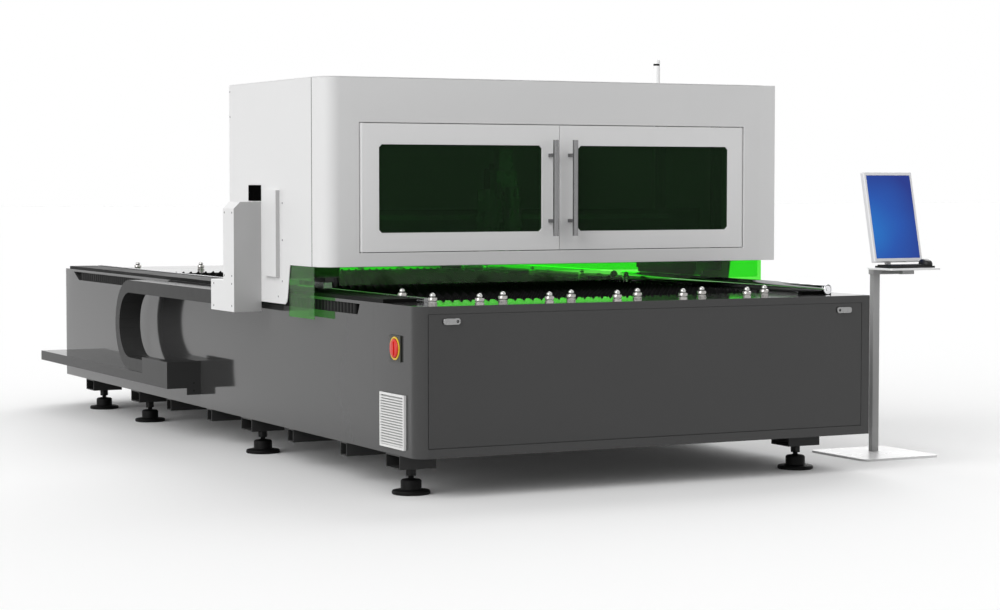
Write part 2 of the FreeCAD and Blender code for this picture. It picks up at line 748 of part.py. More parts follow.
def door(side):
    name = "left" if side < 0 else "right"
    if side < 0:
        x0, x1 = "door_left", "door_middle - door_gap / 2"
        w0, w1 = "door_left + 94", "door_middle - 94"
        pin_x = "door_left + door_thick / 2"
        bar_x = "door_middle - bar_offset"
    else:
        x0, x1 = "door_middle + door_gap / 2", "door_right"
        w0, w1 = "door_middle + 100", "door_right - 90"
        pin_x = "door_right - door_thick / 2"
        bar_x = "door_middle + bar_offset"
    leaf = block(x0, x1, "cabin_front", "cabin_front + door_thick", "door_low", "door_high")
    edge = number(x0 if side < 0 else x1)
    leaf = rounded(leaf, lambda e: upright(e, x=edge), "door_thick / 2 - 0.01")
    light = block(w0, w1, "cabin_front - 5", "cabin_front + door_thick + 5",
                  "window_low", "window_high")
    light = rounded(light, along_y, "14", "Part::Chamfer")
    pins = []
    for z in ("door_low - door_gap + fit_gap", "door_high - 1"):
        pins.append(faceted("Z", pin_x, "cabin_front + door_thick / 2", z,
                            "door_gap + 1 - fit_gap", 5))
    node(name + "_door", join([cut(leaf, [light])] + pins))
    pane = block("%s + fit_gap" % w0, "%s - fit_gap" % w1,
                 "cabin_front + 6", "cabin_front + 12",
                 "window_low + fit_gap", "window_high - fit_gap")
    pane = rounded(pane, along_y, "14", "Part::Chamfer")
    node(name + "_window", pane)
    bar = rod("Z", bar_x, "cabin_front - bar_out", "door_low + 66", "bar_long", 13)
    posts = []
    for z in ("door_low + 136", "door_low + bar_long - 5"):
        posts.append(block(bar_x + " - 8", bar_x + " + 8", "cabin_front - bar_out",
                           "cabin_front", z + " - 8", z + " + 8"))
    node(name + "_door_handle", join([bar] + posts))


# ---------------------------------------------------------------- energy chain
def chain_arm():
    tall = prism("XZ", [
        ("arm_left", 719),
        ("cabin_left", 719),
        ("cabin_left", 1241),
        ("arm_left + 32", 1241),
        ("arm_left", 1209),
    ], "arm_front", "arm_front + 145")
    foot = block("arm_left", "cabin_left", "arm_front + 144", "chain_moving_y", 719, 866)
    node("chain_arm", join([tall, foot]))


def chain_link(y, z_low, length):
    """One link: closed frame around the hoses, with a round boss on each side plate."""
    frame = block("chain_left", "chain_right", y, "%s + %s" % (y, length),
                  z_low, "%s + chain_thick" % z_low)
    hole = block("chain_left + 12", "chain_right - 12", "%s - 1" % y,
                 "%s + %s + 1" % (y, length), "%s + 9" % z_low,
                 "%s + chain_thick - 9" % z_low)
    return cut(frame, [hole])


def energy_chain():
    outer = "chain_inner + chain_thick"
    bend_z = "chain_low + chain_inner + chain_thick"
    gap = val("fit_gap")
    upper = val("bend_y") - val("chain_moving_y")
    count = 20
    pitch = upper / count
    first = chain_link("chain_moving_y", "chain_low + 2 * chain_inner + chain_thick",
                       pitch - gap)
    node("chain_upper_run", copies(first, [(0, i * pitch, 0) for i in range(count)]))
    lower = val("bend_y") - val("chain_fixed_y")
    count = 9
    pitch = lower / count
    first = chain_link("chain_fixed_y", "chain_low", pitch - gap)
    node("chain_lower_run", copies(first, [(0, i * pitch, 0) for i in range(count)]))

    steps = 11
    angle = 180.0 / steps
    body = doc.addObject("PartDesign::Body", "bend_link")
    sketch = body.newObject("Sketcher::SketchObject", "bend_link_outline")
    base = [f for f in body.Origin.OriginFeatures if f.Role == "YZ_Plane"][0]
    sketch.AttachmentSupport = [(base, "")]
    sketch.MapMode = "FlatFace"
    half = math.radians(angle / 2 - 0.04)
    r0, r1 = val("chain_inner"), val("chain_inner") + val("chain_thick")
    cy, cz = val("bend_y"), number(bend_z)
    corners = []
    for radius, turn in ((r0, -half), (r1, -half), (r1, half), (r0, half)):
        corners.append((cy + radius * math.sin(turn), cz - radius * math.cos(turn)))
    for a, b in zip(corners, corners[1:] + corners[:1]):
        sketch.addGeometry(Part.LineSegment(V(a[0], a[1], 0), V(b[0], b[1], 0)), False)
    sketch.addConstraint([
        Sketcher.Constraint("Coincident", i, 2, (i + 1) % 4, 1) for i in range(4)
    ])
    pad = body.newObject("PartDesign::Pad", "bend_link_pad")
    pad.Profile = sketch
    pad.setExpression("Length", "Dims.chain_right - Dims.chain_left")
    body.Tip = pad
    doc.recompute()
    low_x = body.Shape.BoundBox.XMin
    solid = body.Shape.copy()
    solid.translate(V(val("chain_left") - low_x, 0, 0))
    hole = Part.makeBox(
        val("chain_right") - val("chain_left") - 24, 160, val("chain_thick") - 18,
        V(val("chain_left") + 12, cy - 80, cz - r1 + 9),
    )
    link = doc.addObject("Part::Feature", "bend_link_frame")
    link.Shape = solid.cut(hole)
    centre = V(0, cy, cz)
    angles = [angle * (i + 0.5) for i in range(steps)]
    node("chain_bend", turned(link, centre, V(1, 0, 0), angles))


def chain_tray():
    body = block("chain_left - 4", 0, "tray_front", "tray_rear", "tray_low",
                 "chain_low - fit_gap")
    side_plate = block("chain_left - 4", "chain_left - 1", "tray_front", 3042,
                       "tray_low", 412)
    end_plate = block("chain_left - 4", 0, "tray_front", "tray_front + 3", "tray_low", 414)
    tab = block(-75, 0, "tray_front", "tray_front + 3", 239, "tray_low + 1")
    holes = [
        faceted("Y", -37, "tray_front - 5", 300, 30, 5),
        faceted("Y", -37, "tray_front - 5", 260, 30, 5),
    ]
    end_plate = rounded(
        end_plate,
        lambda e: len(e.Vertexes) == 2
        and abs(e.Vertexes[0].Point.y - e.Vertexes[1].Point.y) > 2
        and e.Vertexes[0].Point.z > 410 and e.Vertexes[0].Point.x < -100,
        "14",
    )
    anchor = block("chain_left", "chain_left + 66", "tray_front + 3",
                   "chain_fixed_y - fit_gap", 345, 384)
    node("chain_tray", cut(join([body, side_plate, end_plate, tab, anchor]),
                           holes))


# ---------------------------------------------------------------- front and side details
BALLS = (
    [(307 + val("ball_pitch") * i, 30) for i in range(5)]
    + [(144 + val("ball_pitch") * i, 150) for i in range(6)]
    + [(val("bed_width") - 210, y) for y in (1872, 2350, 2930, 3510, 3800)]
    + [(val("bed_width") - 210, val("bed_length") - 980)]
    + [(632, val("bed_length") - 690), (val("bed_width") - 632, val("bed_length") - 690)]
    + [(285, val("bed_length") - 510), (val("bed_width") - 285, val("bed_length") - 510)]
)


def ball_units():
    """Cup with a ball standing half out of it, set at every place on the deck."""
    cup = faceted("Z", 0, 0, "bed_top", 30, 21, 6)
    ball = faceted("Z", 0, 0, "bed_top + 30", "ball_z + ball_radius - bed_top - 30",
                   "ball_radius + 1", 6)
    crown = val("ball_z") + val("ball_radius")
    ball = rounded(ball, lambda e: all(abs(v.Point.z - crown) < 0.1 for v in e.Vertexes),
                   "8", "Part::Chamfer")
    unit = join([cup, ball])
    node("ball_units", copies(unit, [(x, y, 0) for x, y in BALLS]))


ROLLERS = ((140, 2030), (2130, val("bed_length") - 1050))


def side_rollers():
    cradles = []
    for index, (y0, y1) in enumerate(ROLLERS):
        tube = rod("Y", "roller_x", y0, "roller_z", y1 - y0, "roller_radius")
        node("side_roller_%d" % (index + 1), tube)
        for y in (y0 + 12, (y0 + y1) / 2, y1 - 42):
            cradles.append(prism("XZ", [
                ("roller_x - 138", "bed_top"),
                ("roller_x + 26", "bed_top"),
                ("roller_x + 26", "bed_top + 14"),
                ("roller_x + 22", "bed_top + 13.8"),
                ("roller_x + 15.6", "roller_z - 18.6"),
                ("roller_x + 6.2", "roller_z - 23.4"),
                ("roller_x - 6.2", "roller_z - 23.4"),
                ("roller_x - 15.6", "roller_z - 18.6"),
                ("roller_x - 22", "bed_top + 14"),
                ("roller_x - 138", "bed_top + 16"),
            ], y, y + 30))
    node("roller_cradles", group(cradles))


def louvre_grille():
    frame = block(-12, 0, 108, 356, 203, 436)
    window = block(-13, -3, 118, 346, 213, 426)
    slats = []
    step = 11.6
    for i in range(18):
        z = 215 + i * step
        slats.append(prism("XZ", [(-11, z), (-3, z + 6), (-3, z + 9), (-11, z + 3)], 117, 347))
    node("vent_grille", join([cut(frame, [window])] + slats))


def main_switch():
    node("switch_plate", join([
        block(-8, 0, 148, 260, 574, 686),
        faceted("X", -12, 204, 630, 4, 43, 16),
    ]))
    grip = rod("X", -44, 204, 630, "32 - fit_gap", 32)
    wing = block(-56, -43, 196, 212, 600, 660)
    node("switch_knob", join([grip, wing]))


FEET = [
    (x, y) for x in (86, val("bed_width") - 240)
    for y in (245, 1983, 3712, val("bed_length") - 519)
]


def levelling_feet():
    half_long = val("stub_long") / 2
    half_wide = val("stub_wide") / 2
    where = [(x, y, 0) for x, y in FEET]
    tube = cut(
        block(-half_long, half_long, -half_wide, half_wide, "stub_low", "bed_bottom"),
        [block(-half_long - 1, half_long + 1, -half_wide + 6, half_wide - 6,
               "stub_low + 6", "bed_bottom - 6")],
    )
    tubes = [copies(tube, where)]
    for y in (781, 1412, 2518, 3148):
        outer = block(2, "bed_width - 2", y - 35, y + 35, "stub_low", "bed_bottom")
        inner = block(0, "bed_width", y - 29, y + 29, "stub_low + 6", "bed_bottom - 6")
        tubes.append(cut(outer, [inner]))
    node("bed_foot_tubes", group(tubes))
    disc = faceted("Z", 0, 0, 0, 18, 83, 12)
    hub = faceted("Z", 0, 0, 18, 46, 45, 8)
    screw = faceted("Z", 0, 0, 64, "stub_low - 64 - 1", "spindle_radius + 1")
    nut = faceted("Z", 0, 0, "stub_low - 35", 35, 24)
    node("levelling_feet", copies(join([disc, hub, screw, nut]), where))


# ---------------------------------------------------------------- operator stand
def console():
    base = block("stand_x - 258", "stand_x + 182", "stand_y - 291", "stand_y + 179", 0, 10)
    base = rounded(base, lambda e: upright(e), "35")
    node("console_base", base)
    x, y = "stand_x", "stand_y"
    pin_y = val("stand_y") - 10
    pin_z = val("shelf_top") + 228
    column = join([
        block(x + " - 19", x + " + 19", y + " - 15", y + " + 15", 10, "shelf_top - 36"),
        block(x + " - 24", x + " + 195", y + " - 20", y + " + 20", "shelf_top - 36",
              "shelf_top - 10"),
        block(x + " + 25", x + " + 95", "stand_y - 190", "stand_y - 19", "shelf_top - 30",
              "shelf_top - 10"),
        block(x + " + 55", x + " + 83", pin_y - 7, "stand_y + 20", "shelf_top - 11",
              "shelf_top + 4"),
        block(x + " + 55", x + " + 83", pin_y - 6, pin_y + 6, "shelf_top - 10", pin_z - 4),
        rod("X", x + " + 50", pin_y, pin_z, 38, 9),
    ])
    bore = rod("X", x + " + 35", pin_y, pin_z, 70, "5 + fit_gap")
    node("console_column", cut(column, [bore]))
    shelf = block(x + " - 71", x + " + 229", y + " - 228", y + " - 28", "shelf_top - 10", "shelf_top")
    node("console_shelf", rounded(shelf, lambda e: upright(e), "8", "Part::Chamfer"))
    keys = join([
        block(x + " - 53", x + " + 211", y + " - 202", y + " - 72", "shelf_top",
              "shelf_top + 9"),
        block(x + " - 43", x + " + 201", y + " - 192", y + " - 82", "shelf_top + 8",
              "shelf_top + 15"),
    ])
    node("keyboard", keys)
    mouse = block(x + " + 151", x + " + 207", y + " - 208", y + " - 128", "shelf_top + 15", "shelf_top + 42")
    mouse = rounded(mouse, lambda e: upright(e), "18", "Part::Chamfer")
    over = val("shelf_top") + 42
    mouse = rounded(mouse, lambda e: all(abs(v.Point.z - over) < 0.1 for v in e.Vertexes),
                    "9", "Part::Chamfer")
    node("mouse", mouse)

    # Monitor, drawn upright about its tilt pin, then leant back.
    lean = val("monitor_lean")
    low, high = pin_z - 214, pin_z + 232
    front = pin_y - 46
    case = block(x + " - 77", x + " + 214", front, front + 30, low, high)
    case = rounded(case, lambda e: e.Vertexes[0].Point.z != e.Vertexes[-1].Point.z
                   and upright(e), "5", "Part::Chamfer")
    recess = block(x + " - 62", x + " + 199", front - 1, front + 2.3, low + 16, high - 15)
    hub = block(x + " + 41", x + " + 97", front + 29, front + 36, pin_z - 40, pin_z + 40)
    ears = [
        block(x + " + 41", x + " + 49", front + 35, pin_y + 9, pin_z - 12, pin_z + 12),
        block(x + " + 89", x + " + 97", front + 35, pin_y + 9, pin_z - 12, pin_z + 12),
    ]
    pin = rod("X", x + " + 42", pin_y, pin_z, 54, 5)
    shell = join([cut(case, [recess]), hub] + ears + [pin])
    glass = block(x + " - 62 + fit_gap", x + " + 199 - fit_gap", front + 0.8, front + 2,
                  low + 16.3, high - 15.3)
    for label, source in (("monitor", shell), ("monitor_screen", glass)):
        centre = V(0, pin_y, pin_z)
        node(label, turned(source, centre, V(1, 0, 0), [-lean]))


# ---------------------------------------------------------------- build
bed_front_beam()
bed_side_beam("bed_left_beam", -1)
bed_side_beam("bed_right_beam", 1)
comb("left_comb")
bed_inside()
slat_bed()
front_hatch()
latch("left", -1)
latch("right", 1)
long_axis()
gantry()
head()
cabin_front_cover()
cabin_skins()
cabin_frame()
curtains()
door(-1)
door(1)
chain_arm()
energy_chain()
chain_tray()
ball_units()
side_rollers()
louvre_grille()
main_switch()
levelling_feet()
console()

doc.recompute()
faults = []
for item in doc.Objects:
    if "Invalid" in item.State or "Error" in item.State:
        faults.append("%s (%s): %s" % (item.Name, item.Label, item.State))
total = 0
low = V(1e9, 1e9, 1e9)
high = V(-1e9, -1e9, -1e9)
for body in nodes:
    shape = body.Shape
    if shape.isNull() or not shape.isValid():
        faults.append("bad shape: " + body.Label)
        continue
    facets = len(shape.tessellate(1.0)[1])
    total += facets
    box = shape.BoundBox
    low = V(min(low.x, box.XMin), min(low.y, box.YMin), min(low.z, box.ZMin))
    high = V(max(high.x, box.XMax), max(high.y, box.YMax), max(high.z, box.ZMax))
    print("%-22s solids %3d  facets %5d" % (body.Label, len(shape.Solids), facets))
print("nodes", len(nodes), "facets", total)
print("box", [round(v, 1) for v in (low.x, low.y, low.z, high.x, high.y, high.z)])
if faults:
    raise RuntimeError("; ".join(faults))
for body in nodes:
    body.Shape.exportStep("parts/%s.step" % body.Label)
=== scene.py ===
import math

import bmesh
import bpy
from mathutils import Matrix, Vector


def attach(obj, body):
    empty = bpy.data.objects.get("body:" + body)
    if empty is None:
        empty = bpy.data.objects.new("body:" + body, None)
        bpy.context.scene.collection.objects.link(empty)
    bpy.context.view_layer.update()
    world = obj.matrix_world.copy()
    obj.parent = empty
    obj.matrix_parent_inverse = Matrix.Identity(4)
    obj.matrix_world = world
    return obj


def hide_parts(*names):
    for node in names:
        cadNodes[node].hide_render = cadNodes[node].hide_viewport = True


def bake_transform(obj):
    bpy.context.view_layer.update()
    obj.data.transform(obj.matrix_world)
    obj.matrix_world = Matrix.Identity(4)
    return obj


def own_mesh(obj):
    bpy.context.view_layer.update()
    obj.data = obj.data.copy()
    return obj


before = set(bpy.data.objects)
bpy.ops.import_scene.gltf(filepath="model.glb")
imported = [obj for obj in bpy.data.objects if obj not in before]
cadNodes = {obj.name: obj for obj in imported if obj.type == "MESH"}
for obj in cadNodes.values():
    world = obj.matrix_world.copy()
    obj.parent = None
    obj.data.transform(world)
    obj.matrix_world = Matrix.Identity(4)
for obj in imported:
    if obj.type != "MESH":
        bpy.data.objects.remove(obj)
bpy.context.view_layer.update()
scene = bpy.context.scene
print("frame loaded:", len(cadNodes), "CAD nodes")


# Places are written in millimetres from the bed's front left corner at floor level.
mm = 0.001  # in the frame's metres
bedPlace = (-1.3995, -2.5305)  # that corner in the frame, in metres


def at(x, y, z):
    return Vector((bedPlace[0] + x * mm, bedPlace[1] + y * mm, z * mm))


def tone(red, green, blue):  # screen colour, 0 to 255, as the shader's own linear value
    def linear(value):
        value /= 255
        return value / 12.92 if value <= 0.04045 else ((value + 0.055) / 1.055) ** 2.4

    return (linear(red), linear(green), linear(blue), 1.0)


def grey(value):
    return tone(value, value, value)


def scaled(colour, factor):
    return tuple(min(1.0, part * factor) for part in colour[:3]) + (1.0,)


# Camera
cameraLook = {
    "place": (-5.53638, -11.39320, 1.32819),
    "tilt": 87.04317,
    "turn": -27.04992,
    "lens": 84.73,
    "sensor": 36.0,
}

cameraData = bpy.data.cameras.new("photoCamera")
cameraData.lens = cameraLook["lens"]
cameraData.sensor_width = cameraLook["sensor"]
cameraData.clip_end = 400
photoCamera = bpy.data.objects.new("photoCamera", cameraData)
photoCamera.location = cameraLook["place"]
photoCamera.rotation_euler = (math.radians(cameraLook["tilt"]), 0, math.radians(cameraLook["turn"]))
scene.collection.objects.link(photoCamera)
scene.camera = photoCamera
scene.view_settings.view_transform = "Standard"
print("camera set")


# Finishes
noiseLow, noiseHigh = 0.3, 0.7  # a noise seldom leaves this range


def newFinish(name):
    material = bpy.data.materials.new(name)
    material.use_nodes = True
    tree = material.node_tree
    return material, tree, tree.nodes["Principled BSDF"]


def setInputs(tree, node, inputs):
    # each socket gets its value, or a link where another node's output is given
    for socket, value in inputs.items():
        if isinstance(value, bpy.types.NodeSocket):
            tree.links.new(value, node.inputs[socket])
        else:
            node.inputs[socket].default_value = value


def addNode(tree, kind, inputs=None, **settings):
    node = tree.nodes.new("ShaderNode" + kind)
    for setting, value in settings.items():
        setattr(node, setting, value)
    setInputs(tree, node, inputs or {})
    return node


def objectPlace(tree):
    return addNode(tree, "TexCoord").outputs["Object"]


def addNoise(tree, scale, stretch=(1, 1, 1), detail=4.0):
    mapping = addNode(tree, "Mapping", {"Vector": objectPlace(tree), "Scale": stretch})
    inputs = {"Vector": mapping.outputs["Vector"], "Scale": scale, "Detail": detail}
    return addNode(tree, "TexNoise", inputs).outputs["Fac"]


def addRange(tree, source, low, high, start=noiseLow, end=noiseHigh):
    inputs = {"Value": source, "From Min": start, "From Max": end, "To Min": low, "To Max": high}
    return addNode(tree, "MapRange", inputs).outputs["Result"]


def addColours(tree, source, stops):
    ramp = addNode(tree, "ValToRGB", {"Fac": source})
    elements = ramp.color_ramp.elements
    while len(elements) < len(stops):
        elements.new(0.5)
    for element, (position, colour) in zip(elements, stops):
        element.position = position
        element.color = colour
    return ramp.outputs["Color"]


def addShades(tree, cloud, colour, dark, light):
    # the colour times dark in the cloud's low places and times light in its high ones
    return addColours(tree, cloud, [
        (noiseLow, scaled(colour, dark)), (noiseHigh, scaled(colour, light)),
    ])


def makeFinish(name, look):
    material, tree, shader = newFinish(name)
    stretch = look.get("stretch", (1, 1, 1))
    cloud = addNoise(tree, look["cloud"], stretch)
    grain = addNoise(tree, look["grain"], stretch, 2.0)
    deep = look.get("deep", 0.0004)
    bump = addNode(tree, "Bump", {"Height": grain, "Strength": look["bump"], "Distance": deep})
    spread = look["spread"]
    rough, roughSpread = look["rough"], look.get("roughSpread", 0.04)
    setInputs(tree, shader, {
        "Base Color": addShades(tree, cloud, look["colour"], 1 - spread, 1 + spread),
        "Roughness": addRange(tree, cloud, rough - roughSpread, rough + roughSpread),
        "Normal": bump.outputs["Normal"],
        "Metallic": look.get("metal", 0.0),
        "Specular IOR Level": look.get("specular", 0.5),
        "Anisotropic": look.get("brushed", 0.0),
    })
    return material


finishLooks = {
    "bedPaint": {"colour": grey(61), "spread": 0.03, "cloud": 2.5, "rough": 0.08,
                 "roughSpread": 0.02, "grain": 900, "bump": 0.015, "deep": 0.0002, "specular": 0.4},
    "cabinPaint": {"colour": grey(233), "spread": 0.008, "cloud": 1.8, "rough": 0.35,
                   "grain": 1100, "bump": 0.05, "deep": 0.0002},
    "darkSteel": {"colour": grey(34), "spread": 0.2, "cloud": 14, "rough": 0.5,
                  "roughSpread": 0.1, "grain": 300, "bump": 0.2, "metal": 0.3},
    "slatSteel": {"colour": grey(18), "spread": 0.35, "cloud": 20, "rough": 0.6,
                  "roughSpread": 0.1, "grain": 260, "bump": 0.3, "specular": 0.1},
    "blackPaint": {"colour": grey(14), "spread": 0.15, "cloud": 9, "rough": 0.6,
                   "grain": 700, "bump": 0.12, "specular": 0.0},
    "groundSteel": {"colour": tone(170, 170, 172), "spread": 0.05, "cloud": 30, "rough": 0.24,
                    "grain": 500, "bump": 0.05, "metal": 1.0},
    "brushedSteel": {"colour": tone(196, 196, 198), "spread": 0.06, "cloud": 60, "rough": 0.3,
                     "grain": 300, "bump": 0.12, "metal": 1.0, "stretch": (1, 1, 0.03),
                     "brushed": 0.4},
    "handleSteel": {"colour": tone(132, 132, 133), "spread": 0.06, "cloud": 60, "rough": 0.28,
                    "grain": 300, "bump": 0.1, "metal": 1.0, "stretch": (1, 1, 0.03),
                    "brushed": 0.5},
    "latchSteel": {"colour": grey(150), "spread": 0.04, "cloud": 40, "rough": 0.3,
                   "grain": 500, "bump": 0.05, "metal": 1.0},
    "chrome": {"colour": tone(226, 226, 228), "spread": 0.02, "cloud": 12, "rough": 0.09,
               "roughSpread": 0.03, "grain": 220, "bump": 0.01, "metal": 1.0},
    "ballSteel": {"colour": tone(168, 166, 163), "spread": 0.1, "cloud": 90, "rough": 0.14,
                  "roughSpread": 0.05, "grain": 260, "bump": 0.03, "metal": 1.0},
    "ballTop": {"colour": tone(186, 186, 184), "spread": 0.04, "cloud": 60, "rough": 0.1,
                "roughSpread": 0.03, "grain": 220, "bump": 0.01, "metal": 1.0},
    "motorBlack": {"colour": tone(34, 34, 36), "spread": 0.1, "cloud": 20, "rough": 0.42,
                   "grain": 800, "bump": 0.15},
    "headMetal": {"colour": tone(190, 190, 194), "spread": 0.04, "cloud": 18, "rough": 0.28,
                  "grain": 600, "bump": 0.06, "metal": 0.9},
    "copperTip": {"colour": tone(196, 118, 72), "spread": 0.12, "cloud": 60, "rough": 0.25,
                  "grain": 500, "bump": 0.05, "metal": 1.0},
    "chainPlastic": {"colour": grey(58), "spread": 0.05, "cloud": 7, "rough": 0.2,
                     "grain": 800, "bump": 0.04, "specular": 0.04},
    "chainInside": {"colour": grey(22), "spread": 0.1, "cloud": 9, "rough": 0.22,
                    "grain": 500, "bump": 0.08, "specular": 0.3},
    "trayPaint": {"colour": grey(58), "spread": 0.03, "cloud": 2.5, "rough": 0.1,
                  "roughSpread": 0.02, "grain": 900, "bump": 0.015, "deep": 0.0002,
                  "specular": 0.07},
    "stripPaint": {"colour": grey(11), "spread": 0.12, "cloud": 5, "rough": 0.5,
                   "roughSpread": 0.05, "grain": 700, "bump": 0.05, "specular": 0.06},
    "doorPaint": {"colour": grey(245), "spread": 0.006, "cloud": 1.8, "rough": 0.35,
                  "grain": 1100, "bump": 0.05, "deep": 0.0002},
    "tubePaint": {"colour": grey(46), "spread": 0.06, "cloud": 6, "rough": 0.4,
                  "grain": 700, "bump": 0.06, "specular": 0.25},
    "blackPlastic": {"colour": tone(20, 20, 21), "spread": 0.08, "cloud": 25, "rough": 0.4,
                     "grain": 1500, "bump": 0.2, "specular": 0.3},
    "whitePlastic": {"colour": tone(232, 232, 231), "spread": 0.012, "cloud": 8, "rough": 0.38,
                     "grain": 1300, "bump": 0.08},
    "brushBlack": {"colour": grey(8), "spread": 0.5, "cloud": 260, "rough": 0.8,
                   "grain": 260, "bump": 0.8, "stretch": (1, 1, 0.06), "specular": 0.0},
    "socketBlack": {"colour": grey(18), "spread": 0.1, "cloud": 60, "rough": 0.5,
                    "grain": 700, "bump": 0.1, "specular": 0.2},
    "switchYellow": {"colour": tone(232, 190, 20), "spread": 0.03, "cloud": 30, "rough": 0.35,
                     "grain": 900, "bump": 0.05},
    "switchBlack": {"colour": tone(28, 32, 24), "spread": 0.06, "cloud": 30, "rough": 0.38,
                    "grain": 900, "bump": 0.08},
    "switchRed": {"colour": tone(214, 26, 10), "spread": 0.03, "cloud": 30, "rough": 0.32,
                  "grain": 900, "bump": 0.05},
    "footRubber": {"colour": grey(12), "spread": 0.15, "cloud": 24, "rough": 0.55,
                   "grain": 420, "bump": 0.2, "specular": 0.12},
    "footSteel": {"colour": grey(20), "spread": 0.15, "cloud": 30, "rough": 0.4,
                  "grain": 400, "bump": 0.1, "specular": 0.25},
    "lampWhite": {"colour": grey(246), "spread": 0.01, "cloud": 20, "rough": 0.25,
                  "grain": 900, "bump": 0.04},
    "standGrey": {"colour": grey(166), "spread": 0.02, "cloud": 6, "rough": 0.33,
                  "grain": 1000, "bump": 0.05},
    "standWhite": {"colour": grey(250), "spread": 0.006, "cloud": 5, "rough": 0.27,
                   "grain": 1000, "bump": 0.05},
    "bezelWhite": {"colour": tone(236, 236, 238), "spread": 0.01, "cloud": 8, "rough": 0.35,
                   "grain": 1200, "bump": 0.05},
}
finishes = {name: makeFinish(name, look) for name, look in finishLooks.items()}


def addMath(tree, operation, *terms):
    return addNode(tree, "Math", dict(enumerate(terms)), operation=operation).outputs["Value"]


def mixColours(tree, share, first, second):
    # the mix node keeps its colour sockets at 6 and 7, and its colour output at 2
    return addNode(tree, "Mix", {0: share, 6: first, 7: second}, data_type="RGBA").outputs[2]


def mixShaders(tree, share, first, second):
    return addNode(tree, "MixShader", {0: share, 1: first, 2: second}).outputs["Shader"]


def addReach(tree, place, spot):
    return addNode(tree, "VectorMath", {0: place, 1: spot}, operation="DISTANCE").outputs["Value"]


def anyRay(tree, first, *others):
    # 1 where the light path is of one of these kinds
    ray = addNode(tree, "LightPath").outputs
    found = ray["Is %s Ray" % first]
    for kind in others:
        found = addMath(tree, "MAXIMUM", found, ray["Is %s Ray" % kind])
    return found


# Clear green film and glass: tinted see-through, a little body, and a gloss that grows at a slant.
# The light that falls through on other pieces is only dimmed, not coloured.
def makeClear(name, look):
    material, tree, shader = newFinish(name)
    cloud = addNoise(tree, look["cloud"])
    setInputs(tree, shader, {
        "Base Color": addShades(tree, cloud, look["colour"], 0.9, 1.1),
        "Roughness": look["rough"],
        "Specular IOR Level": look["specular"],
    })
    tint = addShades(tree, cloud, look["tint"], 0.97, 1.0)
    passed = mixColours(tree, anyRay(tree, "Shadow", "Diffuse"), tint, look["dimmed"])
    seeThrough = addNode(tree, "BsdfTransparent", {"Color": passed}).outputs["BSDF"]
    filled = mixShaders(tree, look["body"], seeThrough, shader.outputs["BSDF"])
    slant = addNode(tree, "LayerWeight", {"Blend": 0.5}).outputs["Facing"]
    rise = addMath(tree, "POWER", slant, 5.0)
    share = addMath(tree, "MULTIPLY_ADD", rise, look["slantShine"], look["shine"])
    gloss = addNode(tree, "BsdfGlossy", {"Color": (1, 1, 1, 1), "Roughness": look["rough"]})
    blend = mixShaders(tree, share, filled, gloss.outputs["BSDF"])
    tree.links.new(blend, tree.nodes["Material Output"].inputs["Surface"])
    return material


clearLooks = {
    "curtainFilm": {"colour": tone(168, 168, 158), "cloud": 3.0, "rough": 0.05, "specular": 0.2,
                    "tint": (0.36, 0.955, 0.28, 1.0), "dimmed": (0.5, 0.5, 0.5, 1.0),
                    "body": 0.035, "shine": 0.01, "slantShine": 0.5},
    "windowGlass": {"colour": tone(36, 60, 36), "cloud": 1.2, "rough": 0.05, "specular": 0.05,
                    "tint": (0.42, 0.66, 0.42, 1.0), "dimmed": (0.5, 0.5, 0.5, 1.0),
                    "body": 0.4, "shine": 0.001, "slantShine": 0.05},
}
for name, look in clearLooks.items():
    finishes[name] = makeClear(name, look)


def addAxis(tree, axis, start, end, low, high):
    # rises from low to high as the place along one axis goes from start to end, in metres
    parts = addNode(tree, "SeparateXYZ", {"Vector": objectPlace(tree)})
    return addRange(tree, parts.outputs[axis], low, high, start, end)


# Screen: a plain blue gradient that glows, brightest low on its left
screenLook = {
    "spot": at(2690, 610, 1085), "near": 0.02, "far": 0.36,
    "bright": tone(26, 118, 204), "middle": tone(24, 84, 178), "dark": tone(26, 52, 142),
    "glow": 0.9, "glass": tone(8, 14, 26), "rough": 0.16, "specular": 0.2,
    "cloud": 6.0, "uneven": 0.2,
}


def makeScreen(look):
    material, tree, shader = newFinish("screenGlass")
    reach = addReach(tree, objectPlace(tree), look["spot"])
    fade = addRange(tree, reach, 0.0, 1.0, look["near"], look["far"])
    soft = addNoise(tree, look["cloud"], detail=0.0)
    level = addMath(tree, "MULTIPLY_ADD", soft, look["uneven"], fade)
    setInputs(tree, shader, {
        "Base Color": addShades(tree, soft, look["glass"], 1.0, 1.2),
        "Emission Color": addColours(tree, level, [
            (0.15, look["bright"]), (0.6, look["middle"]), (1.0, look["dark"]),
        ]),
        "Emission Strength": look["glow"],
        "Roughness": look["rough"],
        "Specular IOR Level": look["specular"],
    })
    return material


finishes["screenGlass"] = makeScreen(screenLook)


# Grille and guard comb: painted shade that darkens both from their outer face towards their depth, inside
# a frame, where shade falls between the louvres and the fins
recessShadeLooks = {
    "grillePlastic": {"face": -9.5, "depth": -3.5, "outer": tone(240, 240, 239),
                      "inner": grey(158), "frame": (113, 350), "rough": 0.4, "specular": 0.5},
    "combPlastic": {"face": 5.0, "depth": 17.0, "outer": grey(54), "inner": grey(5),
                    "frame": (600, 4800), "rough": 0.45, "specular": 0.04},
}


